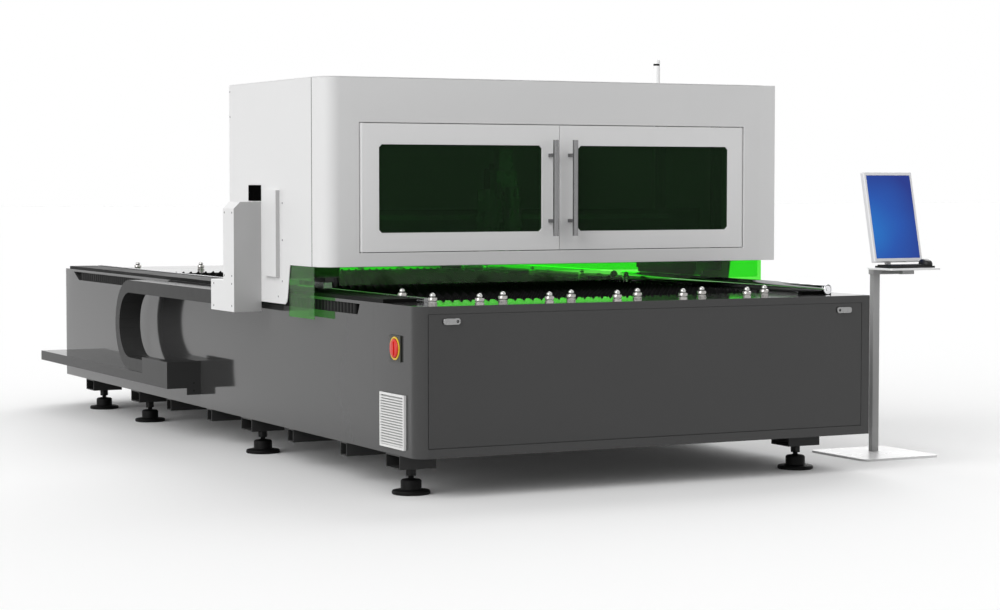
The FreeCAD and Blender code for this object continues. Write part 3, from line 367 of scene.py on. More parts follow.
def makeRecessShadeFinish(name, look):
    material, tree, shader = newFinish(name)
    outer, inner = (at(look[key], 0, 0).x for key in ("face", "depth"))
    # painted shade: the colour goes from the outer tone to the dark inner tone with depth
    shadeTowardsDepth = addAxis(tree, "X", outer, inner, 0.0, 1.0)
    front, rear = (at(0, y, 0).y for y in look["frame"])
    pastFront = addAxis(tree, "Y", front, front + mm, 0.0, 1.0)
    beforeRear = addAxis(tree, "Y", rear, rear + mm, 1.0, 0.0)
    inside = addMath(tree, "MULTIPLY", pastFront, beforeRear)
    cloud = addNoise(tree, 20.0)
    uneven = addMath(tree, "MULTIPLY", cloud, 0.1)
    level = addMath(tree, "MULTIPLY_ADD", shadeTowardsDepth, inside, uneven)
    rough, roughSpread = look["rough"], 0.04
    setInputs(tree, shader, {
        "Base Color": addColours(tree, level, [(0.1, look["outer"]), (1.0, look["inner"])]),
        "Roughness": addRange(tree, cloud, rough - roughSpread, rough + roughSpread),
        "Specular IOR Level": look["specular"],
    })
    return material


for name, look in recessShadeLooks.items():
    finishes[name] = makeRecessShadeFinish(name, look)


# Chain arm and side box: cabin paint with painted shade on their front faces; the arm has dark flush
# screw heads
# front is the share of colour left on faces looking forward, a painted shade
armLooks = {
    "armPaint": {"screws": [(1752, 1190), (1651, 1190), (1757, 890), (1656, 890), (1903, 847),
                            (1658, 852), (1905, 740), (1658, 747)],
                 "front": 0.55},
    "boxPaint": {"screws": [], "front": 0.6},
}
flushScrew = {"radius": 5.2 * mm, "colour": grey(92)}
forwardLimit = -0.7  # a face's direction along Y when it counts as looking forward


def makeArmFinish(name, look):
    material = makeFinish(name, finishLooks["cabinPaint"])
    tree = material.node_tree
    shader = tree.nodes["Principled BSDF"]
    paint = shader.inputs["Base Color"].links[0].from_socket
    sideways = {0: objectPlace(tree), 1: (0, 1, 1)}
    flat = addNode(tree, "VectorMath", sideways, operation="MULTIPLY").outputs["Vector"]
    for y, z in look["screws"]:
        reach = addReach(tree, flat, (0, at(0, y, z).y, at(0, y, z).z))
        head = addMath(tree, "LESS_THAN", reach, flushScrew["radius"])
        paint = mixColours(tree, head, paint, flushScrew["colour"])
    # painted shade: the faces that look forward keep only the front share of the paint's colour
    normal = addNode(tree, "NewGeometry").outputs["Normal"]
    parts = addNode(tree, "SeparateXYZ", {"Vector": normal})
    forward = addMath(tree, "LESS_THAN", parts.outputs["Y"], forwardLimit)
    share = addMath(tree, "MULTIPLY_ADD", forward, look["front"] - 1.0, 1.0)
    frontShade = addNode(tree, "VectorMath", {0: paint, "Scale": share}, operation="SCALE")
    tree.links.new(frontShade.outputs["Vector"], shader.inputs["Base Color"])
    return material


for name, look in armLooks.items():
    finishes[name] = makeArmFinish(name, look)

otherFinishes = {"window_green": "windowGlass", "curtain_green": "curtainFilm", "lamp": "lampWhite"}
finishByNode = {
    "cable_inlet": "brushBlack", "monitor": "bezelWhite", "console_base": "standWhite",
    "left_door_handle": "handleSteel", "right_door_handle": "handleSteel",
    "vent_grille": "grillePlastic", "chain_arm": "armPaint", "chain_tray": "trayPaint",
    "cabin_side_box": "boxPaint",
    "bed_cover_strips": "stripPaint", "bed_foot_tubes": "tubePaint",
}


def finishOfSlot(slotName):
    # the slot bed_paint takes bedPaint, and so on, except for the few named above
    first, *rest = slotName.split("_")
    return finishes[otherFinishes.get(slotName, first + "".join(word.title() for word in rest))]


for node in cadNodes.values():
    for slot in node.material_slots:
        slot.material = finishOfSlot(slot.material.name.split(".")[0])
for name, finishName in finishByNode.items():
    cadNodes[name].material_slots[0].material = finishes[finishName]
for name in ("left_door", "right_door"):
    for slot in cadNodes[name].material_slots:
        if slot.material == finishes["cabinPaint"]:
            slot.material = finishes["doorPaint"]
print("finishes made:", len(finishes))


# Soft edges on the sheet metal and castings that come over from the frame
edgeWidths = {
    3.0: ["bed_front_beam", "bed_left_beam", "bed_right_beam", "bed_rear_deck", "chain_tray",
          "cabin_front_cover", "cabin_roof"],
    1.2: ["cabin_left_panel", "cabin_right_panel", "cabin_rear_cover", "cabin_side_box",
          "chain_arm", "left_door", "right_door", "console_base", "gantry_beam",
          "lift_housing", "cross_axis_motor", "head_carriage", "monitor", "bed_cover_strips",
          "front_hatch", "bed_foot_tubes", "console_shelf", "console_column"],
    0.5: ["vent_grille", "roller_cradles", "long_guide_rails",
          "gantry_rail_blocks", "left_door_handle", "right_door_handle", "cutting_head"],
}


def addSoftEdges(piece, width):
    bevel = piece.modifiers.new("softEdges", "BEVEL")
    bevel.width = width * mm
    bevel.segments = 2
    bevel.limit_method = "ANGLE"
    bevel.angle_limit = math.radians(32)
    bevel.harden_normals = True


def softenEdges(node, width):
    node.data.attributes.remove(node.data.attributes["custom_normal"])
    node.data.polygons.foreach_set("use_smooth", [True] * len(node.data.polygons))
    weld = node.modifiers.new("weld", "WELD")
    weld.merge_threshold = 0.02 * mm
    addSoftEdges(node, width)


for width, names in edgeWidths.items():
    for name in names:
        softenEdges(cadNodes[name], width)
print("edges softened")


# Mesh tools, all in the millimetres of at()
def addFace(mesh, corners, slot=0):
    mesh.faces.new(corners).material_index = slot


def joinRings(mesh, rings, slot=0):
    # faces from each ring to the next; a ring of one corner closes an end
    for lower, upper in zip(rings, rings[1:]):
        sides = max(len(lower), len(upper))
        for i in range(sides):
            j = (i + 1) % sides
            corners = [lower[i % len(lower)], lower[j % len(lower)],
                       upper[j % len(upper)], upper[i % len(upper)]]
            addFace(mesh, list(dict.fromkeys(corners)), slot)


def addStack(mesh, layers, plane="XY", slot=0):
    # layers are (distance, outline) pairs across the plane, with as many points in each outline
    order = {"XY": (0, 1, 2), "XZ": (0, 2, 1), "YZ": (2, 0, 1)}[plane]
    rings = []
    for distance, outline in layers:
        places = [(a, b, distance) for a, b in outline]
        rings.append([mesh.verts.new(at(*(place[i] for i in order))) for place in places])
    addFace(mesh, rings[0][::-1], slot)
    addFace(mesh, rings[-1], slot)
    joinRings(mesh, rings, slot)


def addBlock(mesh, low, high):
    outline = [(low[0], low[1]), (high[0], low[1]), (high[0], high[1]), (low[0], high[1])]
    addStack(mesh, [(low[2], outline), (high[2], outline)])


def addTurned(mesh, centre, profile, axis="Z", sides=40, slot=0):
    # profile is (radius, height) pairs along the axis; a radius of 0 closes an end
    rings = []
    for radius, height in profile:
        ring = []
        for i in range(sides if radius else 1):
            turn = 2 * math.pi * i / sides
            a, b = radius * math.cos(turn), radius * math.sin(turn)
            offset = {"Z": (a, b, height), "Y": (b, height, a), "X": (height, a, b)}[axis]
            ring.append(mesh.verts.new(at(*(c + o for c, o in zip(centre, offset)))))
        rings.append(ring)
    joinRings(mesh, rings, slot)


def addExtruded(mesh, plane, outline, start, end):
    addStack(mesh, [(start, outline), (end, outline)], plane)


def makePiece(name, mesh, finishNames, body, replaced=(), smooth=32, bevel=0.0):
    bmesh.ops.recalc_face_normals(mesh, faces=mesh.faces[:])
    data = bpy.data.meshes.new(name)
    mesh.to_mesh(data)
    mesh.free()
    for finishName in finishNames:
        data.materials.append(finishes[finishName])
    data.polygons.foreach_set("use_smooth", [True] * len(data.polygons))
    data.set_sharp_from_angle(angle=math.radians(smooth))
    piece = bpy.data.objects.new(name, data)
    scene.collection.objects.link(piece)
    if bevel:
        addSoftEdges(piece, bevel)
    if body:
        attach(piece, body)
    if replaced:
        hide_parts(*replaced)
    return piece


# Ball transfer units on the decks
ballPitch = 335  # across the front deck
ballLook = {
    "base": 815, "ballRadius": 13.0, "ballHeight": 852, "steps": 14,
    "lowest": -0.35,  # where the ball comes out of its cup, in half turns from its middle
    "cup": [(0, 0), (20.6, 0), (20.6, 8.5), (19.4, 10), (16.2, 10.6), (16.2, 13.6), (19.4, 14.4),
            (20.6, 16), (20.6, 26), (19, 29), (15.5, 30.6), (13.3, 31), (13.3, 29)],
    "places": [(307 + ballPitch * i, 30) for i in range(5)]
              + [(144 + ballPitch * i, 150) for i in range(6)] + [(210, 603)]
              + [(2090, y) for y in (1872, 2350, 2930, 3510, 3800, 4090)]
              + [(632, 4380), (1668, 4380), (302, 4560), (2015, 4560)],
}


def makeBallUnits(look):
    radius, lowest, steps = look["ballRadius"], look["lowest"], look["steps"]
    ball = []
    for i in range(steps + 1):
        turn = math.pi * (lowest + (0.5 - lowest) * i / steps)
        ball.append((radius * math.cos(turn) if i < steps else 0, radius * math.sin(turn)))
    mesh = bmesh.new()
    for x, y in look["places"]:
        addTurned(mesh, (x, y, look["base"]), look["cup"])
        addTurned(mesh, (x, y, look["ballHeight"]), ball, slot=1)
    makePiece("ballUnits", mesh, ["ballSteel", "ballTop"], "bed", ["ball_units"])


makeBallUnits(ballLook)


# Levelling feet: rubber pad, hub, threaded spindle and lock nut
footLook = {
    "places": [(x, y) for x in (86, 2060) for y in (245, 1983, 3712, 4551)],
    "pad": [(0, 0), (79, 0), (83, 3), (83, 12), (80, 16.5), (74, 18), (50, 19.5), (46, 22), (45, 26),
            (45, 56), (42.5, 61), (37, 64), (20, 66), (15, 68), (0, 68)],
    "thread": {"radius": 12.6, "depth": 1.7, "pitch": 4.0, "low": 66, "high": 112.5, "sides": 24},
    "core": {"low": 60, "high": 112.7, "gap": 0.3},
    "nut": {"bore": 13, "radius": 23.8, "flat": 0.93, "chamfer": 2.5, "low": 78, "high": 112.6},
}


def addThread(mesh, centre, look, slot):
    sides = look["sides"]
    turns = (look["high"] - look["low"]) / look["pitch"]
    steps = int(turns * sides)
    valley, crest = [], []
    for i in range(steps + 1):
        turn = 2 * math.pi * i / sides
        height = look["low"] + look["pitch"] * i / sides
        for line, radius, lift in ((valley, look["radius"] - look["depth"], 0.0),
                                   (crest, look["radius"], look["pitch"] / 2)):
            line.append(mesh.verts.new(at(centre[0] + radius * math.cos(turn),
                                          centre[1] + radius * math.sin(turn),
                                          min(height + lift, look["high"]))))
    for i in range(steps):
        addFace(mesh, [valley[i], valley[i + 1], crest[i + 1], crest[i]], slot)
        if i + sides + 1 <= steps:
            addFace(mesh, [crest[i], crest[i + 1], valley[i + sides + 1], valley[i + sides]], slot)


def makeFeet(look):
    thread, core, nut = look["thread"], look["core"], look["nut"]
    reach = thread["radius"] - thread["depth"] - core["gap"]
    spindle = [(0, core["low"]), (reach, core["low"]), (reach, core["high"]), (0, core["high"])]
    bore, radius, flat, chamfer = nut["bore"], nut["radius"], nut["radius"] * nut["flat"], nut["chamfer"]
    lockNut = [(bore, nut["low"]), (flat, nut["low"]), (radius, nut["low"] + chamfer),
               (radius, nut["high"] - chamfer), (flat, nut["high"]), (bore, nut["high"])]
    mesh = bmesh.new()
    for x, y in look["places"]:
        addTurned(mesh, (x, y, 0), look["pad"], sides=48)
        addThread(mesh, (x, y), thread, 1)
        addTurned(mesh, (x, y, 0), spindle, sides=thread["sides"], slot=1)
        addTurned(mesh, (x, y, 0), lockNut, sides=6, slot=1)
    makePiece("levellingFeet", mesh, ["footRubber", "footSteel"], "bed",
              ["levelling_feet"])


makeFeet(footLook)


# Toothed slats and the notched bars that carry them
slatLook = {
    "first": 470, "pitch": 320 / 3, "count": 33, "left": 268, "right": 2032, "low": 690,
    "tip": 827, "valley": 805, "thick": 3.6, "tooth": 44.5,
    "toothShape": [(0.06, 0.0), (0.26, 0.42), (0.44, 0.95), (0.5, 1.0), (0.56, 0.95),
                   (0.74, 0.42), (0.94, 0.0)],  # in shares of a tooth's pitch and depth
    "barLow": 630, "barHigh": 714, "barWide": 46, "barFront": 440, "barRear": 3970,
    "barLeft": 260, "barRight": 2040, "notch": 3,
}


def slatPlaces(look):
    return [look["first"] + i * look["pitch"] for i in range(look["count"])]


def makeSlats(look):
    left, right, low, valley, tooth = (look[key] for key in ("left", "right", "low", "valley", "tooth"))
    teeth = int((right - left) // tooth)
    margin = (right - left - teeth * tooth) / 2
    outline = [(left, low), (left, valley)]
    for i in range(teeth):
        start = left + margin + i * tooth
        for along, rise in look["toothShape"]:
            outline.append((start + along * tooth, valley + rise * (look["tip"] - valley)))
    outline += [(right, valley), (right, low)]
    mesh = bmesh.new()
    for y in slatPlaces(look):
        addExtruded(mesh, "XZ", outline, y - look["thick"] / 2, y + look["thick"] / 2)
    makePiece("toothedSlats", mesh, ["slatSteel"], "bed", ["slats"])


def makeSlatBars(look):
    low, high, notch = look["barLow"], look["barHigh"], look["notch"]
    side = [(look["barFront"], low), (look["barFront"], high)]
    for y in slatPlaces(look):
        side += [(y - notch, high), (y - notch, look["low"]), (y + notch, look["low"]), (y + notch, high)]
    side += [(look["barRear"], high), (look["barRear"], low)]
    mesh = bmesh.new()
    for start in (look["barLeft"], look["barRight"] - look["barWide"]):
        addExtruded(mesh, "YZ", side, start, start + look["barWide"])
    makePiece("slatSupports", mesh, ["darkSteel"], "bed", ["slat_supports"])


makeSlats(slatLook)
makeSlatBars(slatLook)


# Ribbed guard in the long recess of the left beam
combLook = {
    "front": 650, "rear": 4720, "pitch": 37, "back": 26, "low": 754.2, "high": 800.8,
    "finShape": [(0.12, 18), (0.3, 6), (0.38, 4), (0.56, 4), (0.64, 6), (0.82, 18)],
}


def makeComb(look):
    back, front, pitch = look["back"], look["front"], look["pitch"]
    count = int((look["rear"] - front) // pitch)
    outline = [(back, front)]
    for i in range(count):
        for along, depth in look["finShape"]:
            outline.append((depth, front + (i + along) * pitch))
    outline.append((back, front + count * pitch))
    mesh = bmesh.new()
    addExtruded(mesh, "XY", outline, look["low"], look["high"])
    makePiece("leftComb", mesh, ["combPlastic"], "bed", ["left_comb"], smooth=50)


makeComb(combLook)
print("ball units, feet, slats and comb made")


# Square right corners of the bed and the cabin: each fills from the rounded sheet to a sharp corner
cornerLook = {
    "bed": {"x": 2300, "y": 0, "radius": 60,
            "stages": [(175, 215, 0), (215, 782, 16), (782, 815, 0)]},
    "cabin": {"x": 2356, "y": 875, "radius": 85, "stages": [(951, 1809, 0)]},
}
cornerEdge = {"soft": 3, "under": 0.3, "nose": 1.2, "noseMiddle": 0.35, "steps": 12}


def cornerOutline(look, start, inset):
    # from the front face round the sharp corner to the side face, and back along the rounded sheet
    radius, nose, middle = look["radius"], cornerEdge["nose"], cornerEdge["noseMiddle"]
    sideX, frontY = look["x"] - inset, look["y"] + inset
    bendX, bendY = look["x"] - radius, look["y"] + radius
    outline = [(bendX + start, frontY), (sideX - nose, frontY), (sideX - middle, frontY + middle),
               (sideX, frontY + nose), (sideX, bendY)]
    inner = radius - cornerEdge["soft"] - cornerEdge["under"]  # reaches under the sheet's soft edge
    least = math.asin(start / radius)
    for i in range(cornerEdge["steps"], -1, -1):
        turn = least + (math.pi / 2 - least) * i / cornerEdge["steps"]
        outline.append((bendX + inner * math.sin(turn), bendY - inner * math.cos(turn)))
    return outline


def makeCorner(name, look, finishName, body):
    mesh = bmesh.new()
    for low, high, start in look["stages"][:-1]:
        addStack(mesh, [(z, cornerOutline(look, start, 0)) for z in (low, high)])
    low, high, start = look["stages"][-1]
    layers = [(low, cornerOutline(look, start, 0))]
    for turn in (0, math.pi / 6, math.pi / 3, math.pi / 2):
        drop, inset = (cornerEdge["soft"] * (1 - part) for part in (math.sin(turn), math.cos(turn)))
        layers.append((high - drop, cornerOutline(look, start, inset)))
    addStack(mesh, layers)
    makePiece(name, mesh, [finishName], body, smooth=8)


makeCorner("bedCorner", cornerLook["bed"], "bedPaint", "bed")
makeCorner("cabinCorner", cornerLook["cabin"], "cabinPaint", "gantry")


# Quarter turn latches of the hatch: pill-shaped lever with a key socket, stem and catch behind
latchLook = {
    "places": {"left": (186, -1), "right": (2128, 1)}, "z": 750, "long": 66, "back": 13,
    "half": 13.5, "round": 10, "edge": 1, "socket": 6.2, "face": -9, "rear": -5, "floor": -6.4,
    "pin": 2.6, "pinTop": -8.4, "body": 13.8, "hatch": 5, "stem": 5, "stemEnd": 14,
    "catch": (12.3, 16.3), "catchLong": 22, "catchBack": 5, "catchHalf": 5, "sides": 96,
}


def pillReach(turn, low, high, half, bend):
    # distance from the socket's middle to the lever's outline in one direction
    a, b = math.cos(turn), math.sin(turn)
    least, far = 1e-6, 1e9
    toEnd = (high if a > 0 else low) / a if abs(a) > least else far
    toSide = half / abs(b) if abs(b) > least else far
    best = min(toEnd, toSide)
    x, z = best * a, best * b
    bendZ = math.copysign(half - bend, z)
    for bendX, outwards in ((low + bend, -1), (high - bend, 1)):
        if (x - bendX) * outwards > 0 and abs(z) > half - bend:
            along = a * bendX + b * bendZ
            best = along + math.sqrt(max(0.0, along ** 2 - (bendX ** 2 + bendZ ** 2 - bend ** 2)))
    return best


def makeLatch(name, x, out, look):
    z, sides, face, rear, floor = (look[key] for key in ("z", "sides", "face", "rear", "floor"))
    low, high = sorted((out * look["long"], -out * look["back"]))
    turns = [2 * math.pi * i / sides for i in range(sides)]
    pill = [pillReach(turn, low, high, look["half"], look["round"]) for turn in turns]
    rim = [reach - look["edge"] for reach in pill]
    socket = [look["socket"]] * sides
    mesh = bmesh.new()
    loops = []
    for depth, reaches in ((rear, pill), (face + look["edge"], pill), (face, rim), (face, socket),
                           (floor, socket)):
        loops.append([mesh.verts.new(at(x + reach * math.cos(turn), depth, z + reach * math.sin(turn)))
                      for reach, turn in zip(reaches, turns)])
    joinRings(mesh, loops[:4])
    joinRings(mesh, loops[3:], 1)
    addFace(mesh, loops[-1], 1)
    addFace(mesh, loops[0][::-1])
    pin, pinTop = look["pin"], look["pinTop"]
    keyPin = [(0, floor), (pin, floor), (pin, pinTop), (0, pinTop)]
    addTurned(mesh, (x, 0, z), keyPin, axis="Y", sides=3)
    body, hatch, stem, end = look["body"], look["hatch"], look["stem"], look["stemEnd"]
    barrel = [(0, rear), (body, rear), (body, hatch), (stem, hatch), (stem, end), (0, end)]
    addTurned(mesh, (x, 0, z), barrel, axis="Y", sides=48)
    near, far = sorted((out * look["catchBack"], -out * look["catchLong"]))
    front, back = look["catch"]
    half = look["catchHalf"]
    addBlock(mesh, (x + near, front, z - half), (x + far, back, z + half))
    makePiece(name + "Latch", mesh, ["latchSteel", "socketBlack"], "latch_" + name,
              [name + "_latch"])


for side, (place, out) in latchLook["places"].items():
    makeLatch(side, place, out, latchLook)


# Signal lamp on the roof: foot, clear white dome and a dark ring below its cap
lampLook = {
    "place": (2170, 1700, 1809),
    "dome": [(0, 0), (25.9, 0), (25.9, 7), (22.9, 10), (17, 10), (17, 14), (18, 15), (18, 128),
             (16.5, 129)],
    "ring": [(16.5, 129), (16.5, 139)],
    "cap": [(16.5, 139), (18, 140), (18, 154), (15, 159), (9, 161.5), (0, 162)],
}


def makeLamp(look):
    mesh = bmesh.new()
    for part, slot in (("dome", 0), ("ring", 1), ("cap", 0)):
        addTurned(mesh, look["place"], look[part], slot=slot)
    bmesh.ops.remove_doubles(mesh, verts=mesh.verts[:], dist=0.01 * mm)
    makePiece("signalLamp", mesh, ["lampWhite", "socketBlack"], "gantry", ["signal_lamp"])


makeLamp(lampLook)
print("corners, latches and lamp made")


# Laser safety curtains of clear green film, hung inside the cabin's lower edge
curtainLooks = {
    "frontCurtain": {"line": ((36, 902.3), (2275, 902.3)), "hem": 869, "top": 980,
                     "sway": 1.2, "replaces": "front_curtain"},
    "leftCurtain": {"line": ((-50.5, 985), (-50.5, 1289)), "hem": 713, "top": 975.5,
                    "sway": 0.0, "replaces": "side_curtains"},
    "rightCurtain": {"line": ((2350.5, 985), (2350.5, 1289)), "hem": 713, "top": 975.5,
                     "sway": 0.0, "replaces": "side_curtains"},
    "rearCurtain": {"line": ((-50, 2044.7), (2350, 2044.7)), "hem": 869, "top": 980,
                    "sway": 0.6, "replaces": "rear_curtain"},
}
film = {"thick": 1.4, "step": 24.0, "rows": 8, "swayTurn": 0.55, "swayFade": 1.5}


def lineLength(line):
    return math.dist(*line)


def addHanging(mesh, look):
    # a thin strip of film along a straight line, which sways a little towards its hem
    wide = lineLength(look["line"])
    rows, columns = film["rows"], round(wide / film["step"])
    (startX, startY), (endX, endY) = look["line"]
    outX, outY = (endY - startY) / wide, (startX - endX) / wide
    rings = []
    for i in range(columns + 1):
        x, y = startX + (endX - startX) * i / columns, startY + (endY - startY) * i / columns
        ring = []
        for side, order in ((-0.5, range(rows + 1)), (0.5, range(rows, -1, -1))):
            for k in order:
                share = k / rows
                sway = look["sway"] * (1 - share) ** film["swayFade"] * math.sin(i * film["swayTurn"])
                off = sway + side * film["thick"]
                height = look["hem"] + (look["top"] - look["hem"]) * share
                ring.append(mesh.verts.new(at(x + outX * off, y + outY * off, height)))
        rings.append(ring)
    joinRings(mesh, rings)
    for ring in (rings[0], rings[-1]):
        for k in range(rows):
            addFace(mesh, [ring[k], ring[k + 1], ring[-k - 2], ring[-k - 1]])


def makeCurtain(name, look):
    mesh = bmesh.new()
    addHanging(mesh, look)
    piece = makePiece(name, mesh, ["curtainFilm"], "gantry", [look["replaces"]],
                      smooth=60)


for name, look in curtainLooks.items():
    makeCurtain(name, look)
print("curtains hung")


# Button head screws in the cabin side
screwLook = {
    "places": [(1355, 1237), (1355, 1065), (1357, 873), (1409, 800), (2036, 1775), (2036, 1653)],
    "face": -56,
    "head": [(0, -2.2), (1.56, -2.2), (1.768, -0.99), (2.184, -0.99), (2.6, -2.2), (4.16, -1.76),
             (5.2, -0.66), (5.2, 0.6)],
}


def makeScrews(look):
    mesh = bmesh.new()
    for y, z in look["places"]:
        addTurned(mesh, (look["face"], y, z), look["head"], axis="X", sides=20)
    makePiece("coverScrews", mesh, ["groundSteel"], "gantry")


makeScrews(screwLook)


# Dark bolt heads in the two holes of the tray's end tab
trayBoltLook = {
    "x": -37, "front": 2640, "heights": (260, 300),
    "head": [(0, 0.3), (7.4, 0.3), (8.14, 1.0), (13.8, 0.5), (14.8, 1.1), (14.8, 2.4), (0, 2.4)],
}


def makeTrayBolts(look):
    mesh = bmesh.new()
    for z in look["heights"]:
        addTurned(mesh, (look["x"], look["front"], z), look["head"], axis="Y", sides=32)
    makePiece("trayBolts", mesh, ["socketBlack"], "bed")


makeTrayBolts(trayBoltLook)


# Thin dark strips along the seams between the front cover and the side panels
seamStripLook = {
    "faces": ((-56, -1), (2356, 1)), "y": 1000, "half": 1.6, "low": 952, "high": 1804,
    "crown": [(-2, -1), (0.24, -1), (0.4, -0.4), (0.4, 0.4), (0.24, 1), (-2, 1)],
}


def makeSeamStrips(look):
    mesh = bmesh.new()
    for face, out in look["faces"]:
        outline = [(face + out * proud, look["y"] + look["half"] * across)
                   for proud, across in look["crown"]]
        addExtruded(mesh, "XY", outline, look["low"], look["high"])
    makePiece("coverSeals", mesh, ["socketBlack"], "gantry")


makeSeamStrips(seamStripLook)


# Energy chain: closed link frames along the runs and round the bend
chainLook = {
    "left": -178, "right": -60, "height": 67, "wall": 12, "roof": 9, "gap": 0.5,
    "lowZ": 329, "inner": 174, "bendY": 3260, "fixedY": 2660, "movingY": 1942,
    "upperLinks": 20, "lowerLinks": 9, "bendLinks": 11, "bendSteps": 6,
    "second": {"long": 950, "links": 15, "inset": 0.6, "clear": 1},
}


def addLink(mesh, stations, look, inset=0.0):
    left, right = look["left"] + inset, look["right"] - inset
    low, high = inset, look["height"] - inset
    wall, roof = look["wall"] - 2 * inset, look["roof"] - 2 * inset
    outer = [(left, low), (right, low), (right, high), (left, high)]
    inner = [(left + wall, low + roof), (right - wall, low + roof),
             (right - wall, high - roof), (left + wall, high - roof)]
    shells = []
    for loop in (outer, inner):
        shells.append([[mesh.verts.new(at(x, base[0] + up[0] * rise, base[1] + up[1] * rise))
                        for x, rise in loop] for base, up in stations])
    joinRings(mesh, shells[0])
    joinRings(mesh, shells[1][::-1], 1)
    for end in (0, -1):
        joinRings(mesh, [shells[0][end], shells[1][end]])


def addRun(mesh, start, end, low, count, look, inset=0.0):
    pitch = (end - start) / count
    for i in range(count):
        y0 = start + i * pitch
        y1 = y0 + pitch - look["gap"]
        addLink(mesh, [((y0, low), (0, 1)), ((y1, low), (0, 1))], look, inset)


def makeChain(look):
    upperZ = look["lowZ"] + 2 * look["inner"] + look["height"]
    chainFinish = ["chainPlastic", "chainInside"]
    mesh = bmesh.new()
    addRun(mesh, look["movingY"], look["bendY"], upperZ, look["upperLinks"], look)
    upper = makePiece("chainUpperRun", mesh, chainFinish, "gantry", ["chain_upper_run"])
    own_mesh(upper)

    # a second stretch on the loop lies in the first one and draws out of it as the cabin travels
    second = look["second"]
    front, rear = look["bendY"] - second["long"], look["bendY"] - second["clear"]
    mesh = bmesh.new()
    addRun(mesh, front, rear, upperZ, second["links"], look, second["inset"])
    tail = makePiece("chainUpperTail", mesh, chainFinish, "chain_loop")
    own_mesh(tail)

    mesh = bmesh.new()
    addRun(mesh, look["fixedY"], look["bendY"], look["lowZ"], look["lowerLinks"], look)
    lower = makePiece("chainLowerRun", mesh, chainFinish, None, ["chain_lower_run"])
    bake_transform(lower)


def makeChainBend(look):
    mesh = bmesh.new()
    radius = look["inner"] + look["height"]
    centreZ = look["lowZ"] + radius
    halfGap = look["gap"] / radius / 2
    steps = look["bendSteps"]
    for i in range(look["bendLinks"]):
        stations = []
        for k in range(steps + 1):
            turn = math.pi * (i + k / steps) / look["bendLinks"]
            turn += halfGap if k == 0 else -halfGap if k == steps else 0
            y, z = math.sin(turn), -math.cos(turn)
            stations.append(((look["bendY"] + y * radius, centreZ + z * radius), (-y, -z)))
        addLink(mesh, stations, look)
    makePiece("chainBend", mesh, ["chainPlastic", "chainInside"], "chain_loop",
              ["chain_bend"])


makeChain(chainLook)
makeChainBend(chainLook)
print("energy chain made")


# Side rollers: chrome tubes with end plugs
rollerLook = {
    "x": 2165, "z": 839, "runs": (("roller_front", 140, 2030), ("roller_rear", 2130, 4020)),
    "end": [(0, 0), (8, 0), (8, 2.5), (17, 2.5), (18, 0.6), (21.8, 0), (23, 1.2), (23, 14),
            (22.4, 14.6), (22.4, 16), (23, 16.6)],
}


def makeRollers(look):
    for index, (body, start, end) in enumerate(look["runs"], 1):
        far = [(radius, end - start - along) for radius, along in reversed(look["end"])]
        mesh = bmesh.new()
        addTurned(mesh, (look["x"], start, look["z"]), look["end"] + far, axis="Y", sides=64)
        makePiece("sideRoller%d" % index, mesh, ["chrome"], body, ["side_roller_%d" % index])


makeRollers(rollerLook)


# Main switch: black plate, yellow ring, flat red knob with a grip bar
switchLook = {
    "y": 204, "z": 630, "half": 56, "plate": 8, "grip": (-21, -16),
    "ring": [(41.5, -8.5), (41.7, -10), (42.7, -11), (48, -11), (50, -9.5), (50, -7.5)],
    "knob": [(0, -17), (31.5, -17), (36.5, -16.2), (39.3, -14), (40.5, -11), (40.5, -12.4),
             (39.5, -11.6), (0, -11.6)],
    "wing": [(-7, -30), (7, -30), (8, -24), (8, 24), (7, 30), (-7, 30), (-8, 24), (-8, -24)],
}


def makeSwitch(look):
    y, z, half = look["y"], look["z"], look["half"]
    mesh = bmesh.new()
    addBlock(mesh, (-look["plate"], y - half, z - half), (0, y + half, z + half))
    addTurned(mesh, (0, y, z), look["ring"], axis="X", sides=64, slot=1)
    makePiece("switchPlate", mesh, ["switchBlack", "switchYellow"], "bed",
              ["switch_plate"], bevel=1.5)
    mesh = bmesh.new()
    addTurned(mesh, (0, y, z), look["knob"], axis="X", sides=64)
    addExtruded(mesh, "YZ", [(y + a, z + b) for a, b in look["wing"]], *look["grip"])
    makePiece("switchKnob", mesh, ["switchRed"], "switch", ["switch_knob"], bevel=1.2)


makeSwitch(switchLook)


# Keyboard and mouse on the stand
deskTop = 918
keyboardLook = {
    "left": 2712, "right": 2976, "front": 398, "rear": 528, "high": 9, "columns": 15, "rows": 5,
    "sideRim": 8, "endRim": 7, "keyGap": 1.2, "keyLow": 8.5, "keyHigh": 15,
    "spaceColumn": 4, "spaceWide": 5,
}
mouseLook = {
    "x": 2944, "y": 432, "lift": 15, "half": (28, 40, 27), "rings": 10, "sides": 40,
    "slope": 0.55, "square": 0.8, "drop": 0.18,
}


def makeKeyboard(look):
    mesh = bmesh.new()
    left, right, front, rear = look["left"], look["right"], look["front"], look["rear"]
    sideRim, endRim, gap = look["sideRim"], look["endRim"], look["keyGap"]
    addBlock(mesh, (left, front, deskTop), (right, rear, deskTop + look["high"]))
    stepX = (right - left - 2 * sideRim) / look["columns"]
    stepY = (rear - front - 2 * endRim) / look["rows"]
    space, spaceWide = look["spaceColumn"], look["spaceWide"]
    for row in range(look["rows"]):
        for column in range(look["columns"]):
            if row == 0 and space < column < space + spaceWide:  # under the space bar
                continue
            wide = spaceWide if row == 0 and column == space else 1
            x0, y0 = left + sideRim + column * stepX + gap, front + endRim + row * stepY + gap
            far = (x0 + wide * stepX - 2 * gap, y0 + stepY - 2 * gap, deskTop + look["keyHigh"])
            addBlock(mesh, (x0, y0, deskTop + look["keyLow"]), far)
    makePiece("deskKeyboard", mesh, ["blackPlastic"], "bed", ["keyboard"], bevel=0.9)


